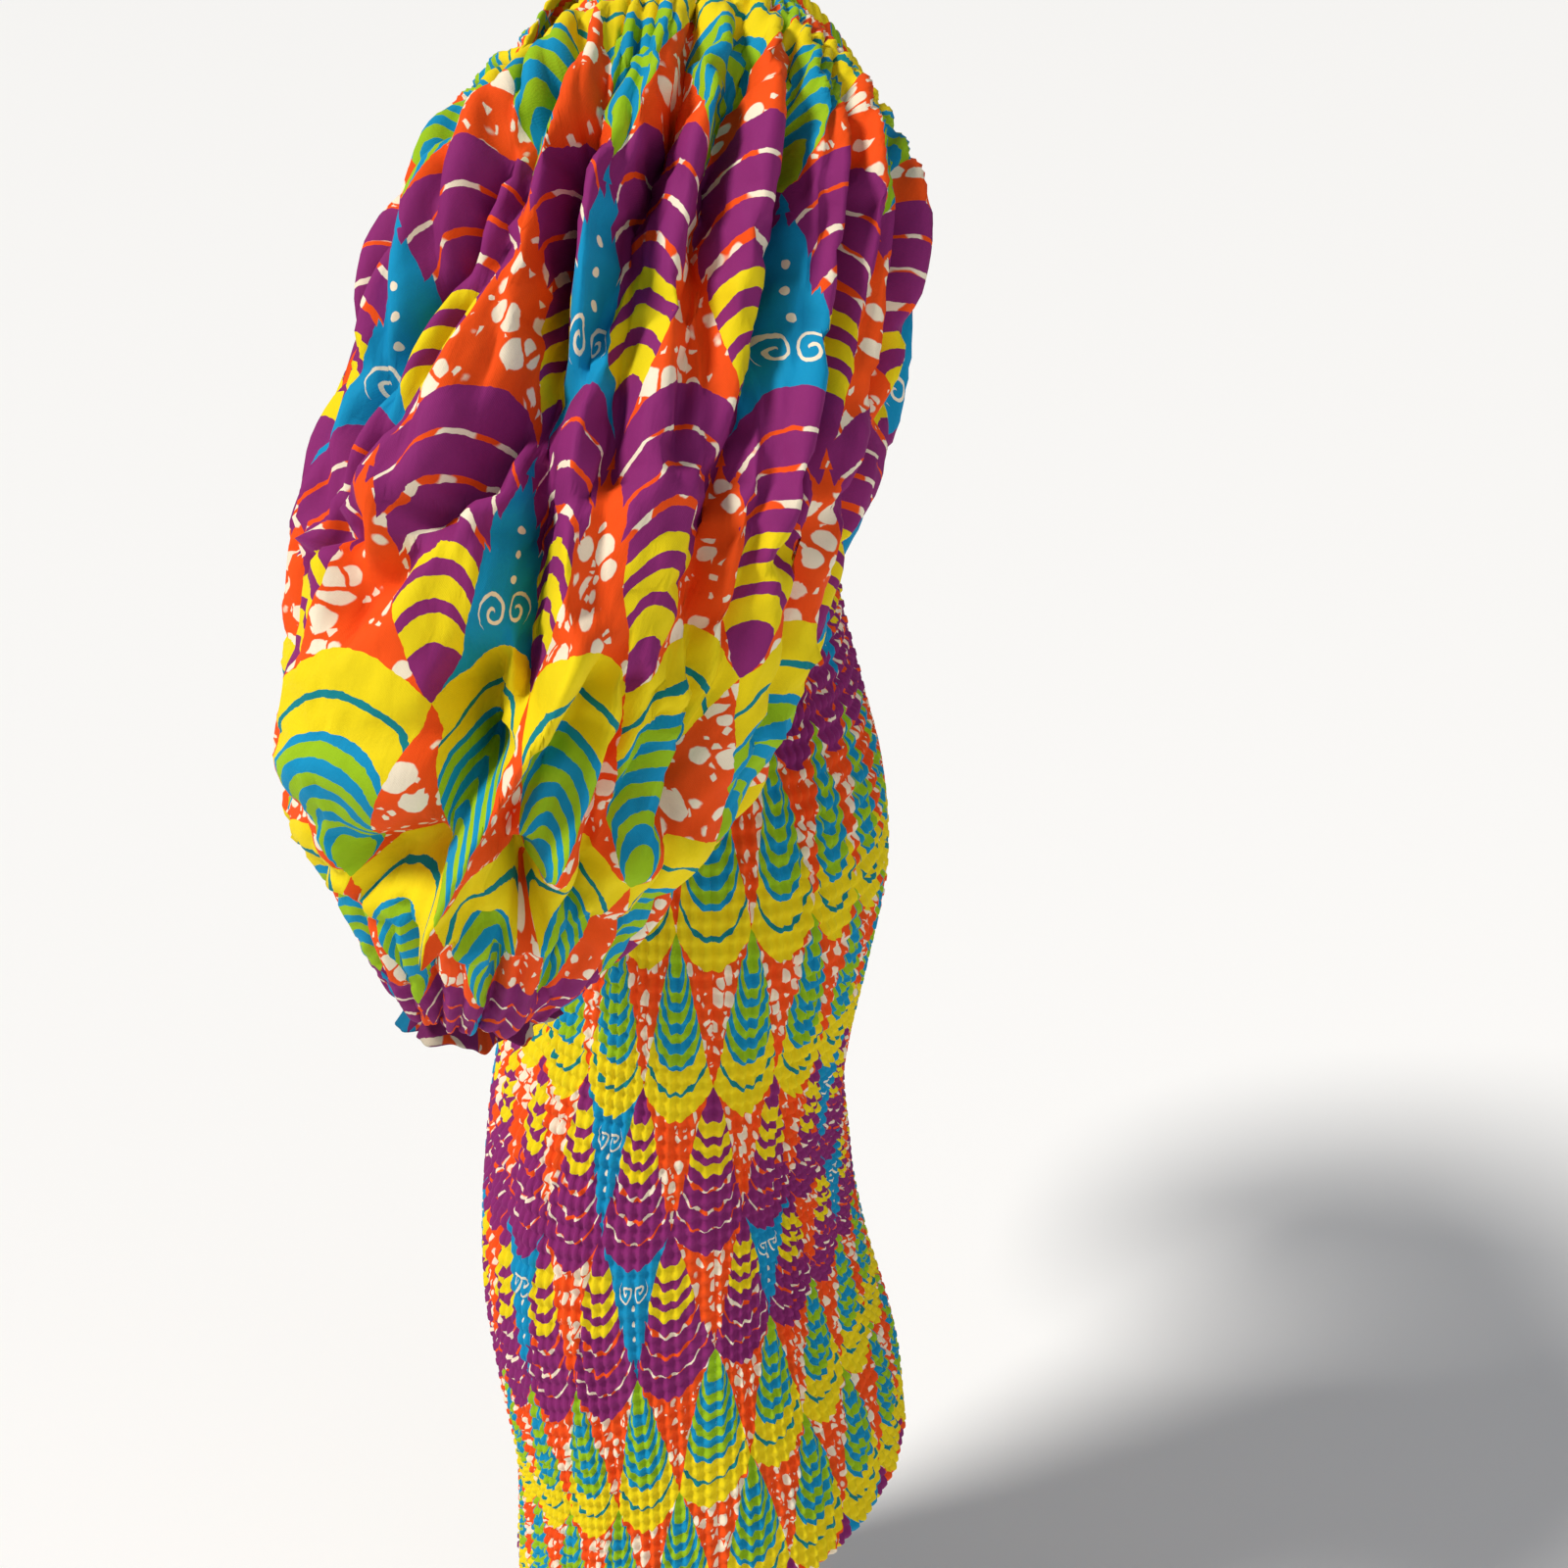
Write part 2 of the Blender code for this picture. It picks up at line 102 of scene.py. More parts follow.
# x, y, height, half size in x, half size in y, rise of the outer side
SLEEVE_RINGS = np.array([
    (0.232, -0.024, 1.273, 0.060, 0.128, 0.088), (0.264, -0.050, 1.196, 0.090, 0.139, 0.062),
    (0.292, -0.076, 1.126, 0.113, 0.140, 0.034), (0.302, -0.097, 1.056, 0.120, 0.131, 0.012),
    (0.302, -0.111, 0.992, 0.108, 0.106, 0.000), (0.298, -0.117, 0.944, 0.086, 0.082, 0.000),
    (0.293, -0.125, 0.909, 0.063, 0.062, -0.005), (0.290, -0.133, 0.893, 0.044, 0.044, -0.007),
    (0.288, -0.136, 0.909, CUFF_RADIUS, CUFF_RADIUS, 0.000),
])

# flat cloth: metres round or wide, metres long, and square metres once neck and raglan are cut away
SLEEVE_FLAT, SLEEVE_AREA = (1.08, 0.70), 0.68
PANEL_FLAT, PANEL_AREA = (0.90, 0.99), 0.87
TUBE_THICKNESS = 0.0009

# %% [markdown]
# ## The neck loop and the raglan seams
# Everything hangs from the neck loop, so it is the first curve. It is an oval seen from above, and it
# rises to the shoulders. The raglan seams run from it down to the armpits, where body and sleeve meet.

# %% Neck loop, raglan seams and body rings


def smooth_step(low, high, x):
    """0 below low, 1 above high, and 3t^2 - 2t^3 between them."""
    t = np.clip((x - low) / (high - low), 0.0, 1.0)
    return t * t * (3.0 - 2.0 * t)


def signed_power(x, power):
    """The power of a number's size, with its own sign."""
    return np.sign(x) * np.abs(x) ** power


def unit(vectors):
    """Each vector divided by its own length."""
    return vectors / np.linalg.norm(vectors, axis=-1, keepdims=True)


def neck_point(turn):
    """Width by a power of the cosine, depth by the sine, height by a power of the cosine's size."""
    cosine, sine = np.cos(turn), np.sin(turn)
    low = np.where(sine > 0, NECK_BACK_HEIGHT, NECK_FRONT_HEIGHT)
    rise = (NECK_SHOULDER_HEIGHT - low) * np.abs(cosine) ** NECK_DROP_POWER
    across = NECK_HALF_WIDTH * signed_power(cosine, NECK_ROUNDNESS)
    return np.stack([across, NECK_HALF_DEPTH * sine, low + rise - ORIGIN_HEIGHT], axis=-1)


def neck_up(turn):
    """The way the cloth arrives at the loop: inward over the shoulders, steep at front and back."""
    rise = 0.62 + 0.36 * np.sin(turn) ** 2
    return unit(np.stack([-0.80 * np.cos(turn), -0.12 * np.sin(turn), rise], axis=-1))


def neck_out(turn):
    """The loop's direction crossed with neck_up, which points out of the cloth."""
    along = neck_point(turn + 1e-3) - neck_point(turn - 1e-3)
    return unit(np.cross(along, neck_up(turn)))


def raglan_point(side, share):
    """A quadratic curve from the armpit, through a bow, to the end of the neck loop's sleeve part."""
    share = share[..., None]
    bow = RAGLAN_BOW * np.stack([np.ones_like(side), side, np.ones_like(side)], axis=-1)
    end = neck_point(side * SLEEVE_NECK_ANGLE)
    return (1 - share) ** 2 * ARMPIT + 2 * share * (1 - share) * bow + share**2 * end


def body_top(turn):
    """Raglan seams near the sides, and the neck loop between them."""
    side = np.where(np.sin(turn) >= 0, 1.0, -1.0)
    from_side = np.arccos(np.clip(np.abs(np.cos(turn)), 0, 1)) / (math.pi / 2)
    past = (from_side - RAGLAN_SHARE) / (1 - RAGLAN_SHARE)
    angle = SLEEVE_NECK_ANGLE + np.clip(past, 0, 1) * (math.pi / 2 - SLEEVE_NECK_ANGLE)
    seam = raglan_point(side, np.clip(from_side / RAGLAN_SHARE, 0, 1))
    points = np.where((from_side < RAGLAN_SHARE)[:, None], seam, neck_point(side * angle))
    same = np.ones_like(turn)
    return points * np.stack([np.sign(np.cos(turn) + 1e-12), same, same], axis=-1)


def through(rings, at):
    """Catmull-Rom curves through the rings: a cubic of four neighbouring rings at each position."""
    last = len(rings) - 1
    padded = np.concatenate([2 * rings[:1] - rings[1:2], rings, 2 * rings[-1:] - rings[-2:-1]])
    whole = np.minimum(np.floor(at).astype(int), last - 1)
    t = (np.asarray(at) - whole).reshape(-1, *[1] * (rings.ndim - 1))
    a, b, c, d = (padded[whole + k] for k in range(4))
    return 0.5 * (
        2 * b + (c - a) * t + (2 * a - 5 * b + 4 * c - d) * t**2 + (3 * b - a - 3 * c + d) * t**3
    )


def outward(grid, closed):
    """The cross product of the steps along a row and up a column, made one long."""
    along = np.roll(grid, -1, axis=1) - np.roll(grid, 1, axis=1) if closed else np.gradient(grid, axis=1)
    return unit(np.cross(along, np.gradient(grid, axis=0)))


loop_turns = np.linspace(0, 2 * math.pi, 721)
loop_steps = np.linalg.norm(np.diff(neck_point(loop_turns), axis=0), axis=-1)
NECK_LENGTH = float(loop_steps.sum())
print(f"neck loop {NECK_LENGTH:.3f} m round")

# %% [markdown]
# ## From a grid of points to a piece of cloth
# Every piece here is a grid: rows along the piece, columns round it. One helper turns a grid into a
# mesh and gives it a map named cloth, whose numbers are metres on the flat, uncut fabric. The print
# and the weave read that map, so they bend, fold and bunch exactly as the cloth does.

# %% Mesh helper


def cloth_mesh(name, points, cloth, closed, flip=False):
    """Quads between neighbouring points. A closed grid wraps round, with one more column of cloth."""
    rows, columns = points.shape[:2]
    index = np.arange(rows * columns).reshape(rows, columns)
    if closed:
        index = np.concatenate([index, index[:, :1]], axis=1)

    def corners(grid):
        picks = [grid[:-1, :-1], grid[:-1, 1:], grid[1:, 1:], grid[1:, :-1]]
        return np.stack(picks[::-1] if flip else picks, axis=2)

    quads = corners(index).reshape(-1, 4)
    mesh = bpy.data.meshes.new(name)
    mesh.from_pydata(points.reshape(-1, 3).tolist(), [], quads.tolist())
    layer = mesh.uv_layers.new(name="cloth")
    layer.data.foreach_set("uv", corners(cloth).astype(np.float32).ravel())
    mesh.shade_smooth()
    obj = bpy.data.objects.new(name, mesh)
    bpy.context.scene.collection.objects.link(obj)
    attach(obj, "root")
    print(f"{name}: {rows} rows, {columns} columns, {2 * len(quads)} triangles")
    return obj


def thicken(obj, thickness):
    """Gives a tube of cloth its own thickness, measured inwards."""
    wall = obj.modifiers.new("cloth_thickness", "SOLIDIFY")
    wall.thickness = thickness
    wall.offset = -1.0


# %% [markdown]
# ## The shirred body
# Rows of elastic thread, about 11 mm apart, draw the cloth in to half its width. That raises an
# upright rib every 8 mm, pinched at each row of stitches, so the surface looks quilted. The ribs are
# real relief here, because they catch the light and because gathered cloth has nearly twice the
# area of the figure under it. Each rib gets a slightly different height, as threads pull unevenly.

# %% Body panels
RIBS_PER_PANEL, COLUMNS_PER_RIB = 60, 5
ELASTIC_PITCH, ROWS_PER_ELASTIC = 0.0112, 3
RIB_HEIGHT, PUFF_HEIGHT = 0.0046, 0.0014
# how unlike each other the ribs are, and how much one rib changes on its way up
RIB_STRENGTHS, RIB_WANDER, WANDER_LEVELS = (0.75, 1.2), 0.12, 9
# metres that the feet of the ribs lie outside the smooth body, and the turned-in hem inside it
OUTSIDE, INSIDE = 0.0008, 0.0006
# the top of the side seam, and the levels between which the ribs lose this share of their height
SIDE_SEAM_TOP, TOP_LEVELS, TOP_LOSS = 1.235, (1.16, 1.22), 0.55
# metres of cloth in a metre of height, and the level where a row of the print begins
CLOTH_PER_LEVEL, PRINT_LEVEL = 0.113 / 0.1125, 0.854
rng = np.random.default_rng(11)


def section_ring(section, turn):
    """A rounded oval from powers of cosine and sine, tilted so that its back stands higher."""
    height, half_width, front, back, rise = section
    x = half_width * signed_power(np.cos(turn), BODY_SQUARENESS)
    y = np.where(np.sin(turn) > 0, back, front) * signed_power(np.sin(turn), BODY_SQUARENESS)
    return np.stack([x, y, height - ORIGIN_HEIGHT + rise * y], axis=-1)


def panel_grid(back):
    """Body rings carried up the heights, with ribs, puffs and a narrow hem turned in at the bottom."""
    columns = RIBS_PER_PANEL * COLUMNS_PER_RIB + 1
    turns = np.linspace(0, math.pi, columns) + (0 if back else math.pi)
    rings = np.stack([section_ring(s, turns) for s in BODY_SECTIONS] + [body_top(turns)])
    tilt = np.append(BODY_SECTIONS[:, 4], 0.0)
    side_heights = np.append(BODY_SECTIONS[:, 0], SIDE_SEAM_TOP)
    rows = int(round((side_heights[-1] - side_heights[0]) / ELASTIC_PITCH)) * ROWS_PER_ELASTIC + 1
    levels = np.linspace(side_heights[0], side_heights[-1], rows)
    at = np.interp(levels, side_heights, np.arange(len(side_heights)))
    base = through(rings, at)
    slope = np.interp(at, np.arange(len(tilt)), tilt)[:, None]
    level = base[..., 2] - slope * base[..., 1] + ORIGIN_HEIGHT
    row_phase = (np.arange(rows) % ROWS_PER_ELASTIC) / ROWS_PER_ELASTIC
    pinch = np.abs(np.sin(math.pi * row_phase))[:, None]
    rib_number = np.arange(columns) / COLUMNS_PER_RIB
    strengths = rng.uniform(*RIB_STRENGTHS, RIBS_PER_PANEL + 1)
    strength = np.interp(rib_number, np.arange(RIBS_PER_PANEL + 1), strengths)
    wander = rng.normal(0, 1, (WANDER_LEVELS, RIBS_PER_PANEL + 1))
    wander = through(wander[..., None], np.linspace(0, WANDER_LEVELS - 1, rows))[..., 0]
    wander = np.repeat(wander, COLUMNS_PER_RIB, axis=1)[:, :columns]
    wave = 0.5 - 0.5 * np.cos(2 * math.pi * rib_number)[None, :]
    near_top = 1 - TOP_LOSS * smooth_step(*TOP_LEVELS, levels)[:, None]
    rib = RIB_HEIGHT * wave * strength * (0.50 + 0.50 * pinch) * (1 + RIB_WANDER * wander) * near_top
    height = OUTSIDE + rib + PUFF_HEIGHT * pinch * near_top
    points = base + outward(base, closed=False) * height[..., None]
    across = np.linspace(0, PANEL_FLAT[0], columns) + (0 if back else PANEL_FLAT[0])
    along = (level - PRINT_LEVEL) * CLOTH_PER_LEVEL
    cloth = np.stack([np.broadcast_to(across, along.shape), along], axis=-1)
    inner = base - outward(base, closed=False) * INSIDE
    turned = np.stack([inner[4], inner[1], 0.5 * (inner[0] + points[0]) - [0, 0, 0.0012]])
    points = np.concatenate([turned, points])
    hem_cloth = np.repeat(cloth[:1], 3, axis=0) - np.array([[[0, 0.012]], [[0, 0.006]], [[0, 0.001]]])
    return points, np.concatenate([hem_cloth, cloth])


bodies = {}
for name, back in (("body_front", False), ("body_back", True)):
    points, cloth = panel_grid(back)
    bodies[name] = cloth_mesh(name + "_cloth", points, cloth, closed=False)
    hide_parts(name)

# %% [markdown]
# ## The sleeves
# A sleeve starts from rings that give its fullness, and the cloth round each ring is longer than
# the ring, so it stands up in long rolls. Each roll is a row of the fold table: where it lies at
# five levels, and how far it stands out there. Between two rolls the surface turns sharply back, as
# cotton does. Folds that run across the rolls are lines in a second table, drawn from the
# photograph. Fine gathers start at both elastic ends and run out into the rolls.

# %% Folds of the sleeve
# degrees round the sleeve at five levels from top to bottom, then millimetres that it stands out
FOLDS = np.array([
    (326, 303, 281, 277, 282, 12, 14, 10, 6, 8), (345, 337, 321, 314, 318, 12, 16, 22, 16, 8),
    (358, 352, 355, 1, 346, 14, 18, 15, 12, 10), (13, 8, 13, 16, 10, 12, 14, 17, 13, 11),
    (26, 24, 33, 34, 31, 13, 15, 8, 9, 11), (38, 41, 45, 48, 50, 10, 12, 12, 11, 10),
    (52, 56, 62, 64, 68, 10, 12, 12, 9, 8), (68, 73, 78, 80, 84, 10, 12, 11, 9, 8),
    (86, 92, 98, 100, 102, 10, 12, 11, 9, 8), (104, 112, 118, 120, 120, 8, 10, 11, 10, 9),
    (126, 132, 140, 142, 142, 4, 8, 11, 10, 9), (150, 153, 161, 162, 164, 3, 6, 9, 9, 8),
    (172, 177, 182, 184, 186, 2, 4, 7, 8, 7), (196, 200, 206, 208, 208, 2, 4, 7, 8, 7),
    (216, 220, 224, 228, 230, 3, 7, 10, 10, 9), (244, 240, 241, 244, 246, 7, 11, 12, 11, 10),
    (276, 262, 255, 256, 258, 10, 12, 12, 8, 8), (303, 284, 268, 267, 270, 12, 12, 9, 6, 7),
])
FOLD_ROWS, ROLL_POWER = (0.15, 0.30, 0.45, 0.60, 0.78), 2.3
SLEEVE_COLUMNS, ROUND_SAMPLES = 360, 1440
# metres by which the print is moved round the sleeve and down it
PRINT_SHIFT, PRINT_DROP = 0.064, 0.069
# metres cut away for the raglan, and the degrees from the shoulder where that starts and is full
RAGLAN_CUT, CUT_FROM, CUT_TO = 0.30, 95, 180
# metres that the sleeve's edge lies outside the loop, more at the seam, and that it is turned in
EDGE_OUT, SEAM_OUT, TURNED_IN = 0.0022, 0.0010, 0.0050
# metres that the right sleeve has moved back and down
RIGHT_SETTLE = np.array([0.0, 0.010, -0.022])


def sleeve_start(turns, inside=0.0):
    """The neck loop outside and the two raglan seams below it, moved inwards by inside."""
    turn = (turns + math.pi) % (2 * math.pi) - math.pi
    side = np.where(turn >= 0, 1.0, -1.0)
    share = np.clip((math.pi - np.abs(turn)) / (math.pi - SLEEVE_RAGLAN_ANGLE), 0, 1)
    neck_turn = np.clip(turn / SLEEVE_RAGLAN_ANGLE, -1, 1) * SLEEVE_NECK_ANGLE
    on_loop = (np.abs(turn) <= SLEEVE_RAGLAN_ANGLE)[:, None]
    start = np.where(on_loop, neck_point(neck_turn), raglan_point(side, share))
    seam = smooth_step(SLEEVE_RAGLAN_ANGLE - 0.45, SLEEVE_RAGLAN_ANGLE - 0.05, np.abs(turn))[:, None]
    way = unit((1 - seam) * neck_out(neck_turn) + seam * unit(start * np.array([1.0, 1.45, 0.0])))
    return start + way * (EDGE_OUT + seam * SEAM_OUT - inside * (0.2 + 0.8 * seam))


def sleeve_base(turns, rows, right):
    """Ovals from the neck loop to the wrist. The right sleeve is a little lower and further back."""
    x, y, height, half_x, half_y, rise = (SLEEVE_RINGS[:, k, None] for k in range(6))
    cosine, sine = np.cos(turns)[None, :], np.sin(turns)[None, :]
    level = height - ORIGIN_HEIGHT + rise * cosine
    ovals = np.stack([x + half_x * cosine, y + half_y * sine, level], axis=-1)
    rings = np.concatenate([sleeve_start(turns)[None], ovals])
    steps = np.linalg.norm(np.diff(rings, axis=0), axis=-1).mean(axis=1)
    length = np.concatenate([[0], np.cumsum(steps)]) / steps.sum()
    base = through(rings, np.interp(rows, length, np.arange(len(rings))))
    settle = smooth_step(0.0, 0.12, rows) * (1 - smooth_step(0.30, 0.80, rows)) * right
    return base + settle[:, None, None] * RIGHT_SETTLE


def rolls(degrees, rows, places, depths, sharp):
    """Between two valleys, depth times 1 - |x|^sharp, where x runs from -1 to 1 over the roll."""
    row = np.asarray(rows)[:, None]
    place = np.stack([np.interp(row[:, 0], FOLD_ROWS, p) for p in places], axis=1) % 360
    depth = np.stack([np.interp(row[:, 0], FOLD_ROWS, d) for d in depths], axis=1)
    order = np.argsort(place, axis=1)
    place, depth = np.take_along_axis(place, order, 1), np.take_along_axis(depth, order, 1)
    place = np.concatenate([place[:, -1:] - 360, place, place[:, :1] + 360], axis=1)
    depth = np.concatenate([depth[:, -1:], depth, depth[:, :1]], axis=1)
    share = depth[:, :-1] / (depth[:, :-1] + depth[:, 1:])
    valley = place[:, :-1] + (0.25 + 0.5 * share) * np.diff(place, axis=1)
    cell = (degrees[None, :, None] >= valley[:, None, :]).sum(axis=2)
    middle, high = np.take_along_axis(place, cell, 1), np.take_along_axis(depth, cell, 1)
    edges = np.concatenate([valley[:, :1] - 40, valley, valley[:, -1:] + 40], axis=1)
    before, after = np.take_along_axis(edges, cell, 1), np.take_along_axis(edges, cell + 1, 1)
    away = degrees[None, :] - middle
    x = np.where(away < 0, away / (middle - before), away / (after - middle))
    return high * (1 - np.abs(x) ** sharp)


def pleats(degrees, count, seed):
    """Rounded pleats of uneven width: the size of a cosine whose phase is warped by slow sines."""
    warp = np.random.default_rng(seed)
    angle = np.radians(degrees)
    phase = angle * count / 2
    for harmonic in (2, 3, 5, 7):
        phase = phase + warp.uniform(0.3, 0.9) * np.sin(harmonic * angle + warp.uniform(0, 6.28))
    return np.abs(np.cos(phase)) ** 0.8 - 0.6


def gather(degrees, row, seed, kind):
    """Pleats that rise over one span of rows and fade over another."""
    count, height, own, rise, fade = kind
    lift = pleats(degrees, count, seed + own)[None, :] * height
    return lift * smooth_step(*rise, row) * (1 - smooth_step(*fade, row))


def on_loop(degrees):
    """1 where the sleeve hangs from the neck loop, and 0.15 along the raglan seams under it."""
    off = np.abs((degrees + 180) % 360 - 180)
    return 1 - 0.85 * smooth_step(108, 122, off)[None, :]


def slow_waves(degrees, rows, seed):
    """The mean of long waves with random directions, which keep two rolls from looking alike."""
    pick = np.random.default_rng(seed)
    total = np.zeros((len(rows), len(degrees)))
    for _ in range(SLOW_WAVES):
        around, down, phase = pick.integers(2, 12), pick.uniform(-3.5, 3.5), pick.uniform(0, 6.28)
        total += np.cos(around * np.radians(degrees)[None, :] + 6.28 * down * rows[:, None] + phase)
    return total / SLOW_WAVES


# %% Sleeve surfaces
# a line of (degrees, row) points, millimetres out (or in, where negative), millimetres of half width
CREASES = [
    ([(343.5, 0.24), (346, 0.34), (349.5, 0.42), (353, 0.52), (356, 0.58)], -26, 11),
    ([(349, 0.27), (353, 0.36), (356, 0.44), (360, 0.53)], 10, 9),
    ([(364, 0.21), (358, 0.32), (353, 0.39)], -15, 9), ([(15, 0.18), (14, 0.34), (17, 0.43)], -10, 8),
    ([(33, 0.20), (34, 0.35), (31, 0.42), (28.5, 0.47), (30.5, 0.53), (35, 0.60), (38, 0.69)], -15, 9),
    ([(334, 0.18), (331, 0.30), (318, 0.40), (303, 0.48)], -13, 9),
    ([(343, 0.40), (333, 0.455), (322, 0.51)], -15, 11), ([(344, 0.575), (348, 0.625)], -34, 17),
    ([(364, 0.55), (355, 0.64), (345, 0.71), (340, 0.77)], 24, 10),
    ([(369, 0.57), (360, 0.63), (354, 0.68)], -13, 9), ([(360, 0.72), (365, 0.76)], -32, 14),
    ([(13, 0.58), (11, 0.66), (9, 0.71)], 10, 10), ([(15.5, 0.575), (17.5, 0.66), (20, 0.78)], -13, 8),
    ([(318, 0.73), (334, 0.715)], -30, 20), ([(300, 0.645), (320, 0.635), (334, 0.64)], 10, 24),
    ([(345, 0.80), (365, 0.80), (380, 0.79)], 10, 11), ([(316, 0.47), (317, 0.53)], -12, 10),
    ([(322, 0.29), (304, 0.39)], -7, 7), ([(48, 0.26), (50, 0.38), (49, 0.50)], -12, 8),
]
# the same lines turned round to the sides that the photograph hides, and how strong they are there
CREASE_TURNS = ((0, 1.0), (115, 0.5), (235, 0.5))
FRONT_HOLLOW = ([(292, 0.38), (285, 0.48), (285, 0.57)], -3, 62)
OUTER_HOLLOW = ([(2, 0.32), (2, 0.70)], -11, 120)
ROLL_GAIN, INSET, UPPER_INSET = 1.30, 0.0010, 0.006
# millimetres of cloth in a degree round the sleeve and in its whole length
DEGREE_LENGTH, ROW_LENGTH = 3.0, 620.0
SLOW_WAVES, SLOW_HEIGHT, COLUMN_SMOOTHING = 14, 0.010, 70
# pleats: how many round, metres of height, own seed, rows where they rise, rows where they fade
NECK_WIDE = (34, 0.0135, 2, (0.03, 0.12), (0.22, 0.62))
NECK_MIDDLE = (60, 0.0062, 1, (0.01, 0.05), (0.10, 0.28))
NECK_NARROW = (118, 0.0034, 0, (0.0, 0.006), (0.02, 0.08))
CUFF_WIDE = (28, 0.0070, 4, (0.70, 0.86), (0.94, 0.985))
CUFF_NARROW = (56, 0.0024, 3, (0.90, 0.96), (0.992, 1.0))


def crease(degrees, rows, line, height, width):
    """Height times exp(-(d / width)^2), where d is the distance along the cloth to the line."""
    across, down = degrees[None, :] * DEGREE_LENGTH, rows[:, None] * ROW_LENGTH
    turn = 360 * DEGREE_LENGTH
    nearest = np.full((len(rows), len(degrees)), 1e9)
    for (a, b), (c, d) in zip(line[:-1], line[1:]):
        a, b, c, d = a * DEGREE_LENGTH, b * ROW_LENGTH, c * DEGREE_LENGTH, d * ROW_LENGTH
        x, y = (across - a + turn / 2) % turn - turn / 2, down - b
        share = np.clip((x * (c - a) + y * (d - b)) / ((c - a) ** 2 + (d - b) ** 2), 0, 1)
        nearest = np.minimum(nearest, np.hypot(x - share * (c - a), y - share * (d - b)))
    return height / 1000 * np.exp(-((nearest / width) ** 2))


def broad_relief(degrees, rows, seed):
    """Rolls, creases along drawn lines, wide pleats at both ends and slow waves over all."""
    row = rows[:, None]
    main = rolls(degrees, rows, FOLDS[:, :5], FOLDS[:, 5:] / 1000, ROLL_POWER)
    for turn, strength in CREASE_TURNS:
        for line, height, width in CREASES:
            main = main + crease(degrees - turn, rows, line, height * strength, width)
    main = main - main.mean(axis=1, keepdims=True)
    main = main + crease(degrees, rows, *FRONT_HOLLOW) + crease(degrees, rows, *OUTER_HOLLOW)
    ends = smooth_step(0.03, 0.20, row) * (1 - smooth_step(0.88, 1.0, row))
    main *= ends * (1.3 - 0.3 * smooth_step(0.25, 0.45, row))
    neck = gather(degrees, row, seed, NECK_WIDE)
    cuff = gather(degrees, row, seed, CUFF_WIDE)
    quiet = smooth_step(0.04, 0.2, row) * (1 - smooth_step(0.9, 1.0, row))
    slow = slow_waves(degrees, rows, seed + 5) * SLOW_HEIGHT
    inset = INSET + UPPER_INSET * (1 - smooth_step(0.30, 0.45, row))
    return ROLL_GAIN * main + neck * on_loop(degrees) + cuff + (slow - inset) * quiet


def fine_relief(degrees, rows, seed):
    """Small pleats at both elastic ends: narrow ones first, and wider ones where they run out."""
    row = rows[:, None]
    neck = gather(degrees, row, seed, NECK_NARROW) + gather(degrees, row, seed, NECK_MIDDLE)
    return neck * on_loop(degrees) + gather(degrees, row, seed, CUFF_NARROW)


def even_columns(surface, rows, columns):
    """Columns at equal steps of cloth round nearby rings, and at even angles at the elastic ends."""
    samples = surface.shape[1]
    step = np.linalg.norm(np.roll(surface, -1, axis=1) - surface, axis=-1)
    travelled = np.concatenate([np.zeros((len(rows), 1)), np.cumsum(step, axis=1)], axis=1)
    even = travelled / travelled[:, -1:] * samples
    settled = smooth_step(0.0, 0.16, rows)[:, None] * (1 - smooth_step(0.93, 1.0, rows))[:, None]
    place = settled * even + (1 - settled) * np.arange(samples + 1)[None, :]
    for _ in range(COLUMN_SMOOTHING):
        place[1:-1] = (place[:-2] + 2 * place[1:-1] + place[2:]) / 4
    wanted = np.arange(columns) * samples / columns
    at = np.stack([np.interp(wanted, p, np.arange(samples + 1)) for p in place])
    whole = np.floor(at).astype(int)
    part = (at - whole)[..., None]
    line = np.arange(len(rows))[:, None]
    print(f"cloth round the sleeve at its fullest: {travelled[:, -1].max():.2f} m")
    return surface[line, whole % samples] * (1 - part) + surface[line, (whole + 1) % samples] * part


# %% [markdown]
# ### Letting the sleeve settle
# The listed folds are too tidy, because each one only knows its own row of the table. Blender's
# cloth solver makes them act on each other: the cloth is made 4% too large for its place, so it
# buckles, and gravity draws it down. A pull to where it began keeps the sleeve full, and the two
# elastic ends are held. It runs on a coarse grid, which is then smoothed to the fine one.

# %% Cloth solver
SETTLE_COLUMNS, SETTLE_FRAMES = 180, 28
CLOTH_GROWTH, LONGEST_MOVE = 0.04, 0.030
# how firmly the cloth is pulled to its start, and how much less so in the lower part
PULL, LOWER_LESS = 0.60, 0.05


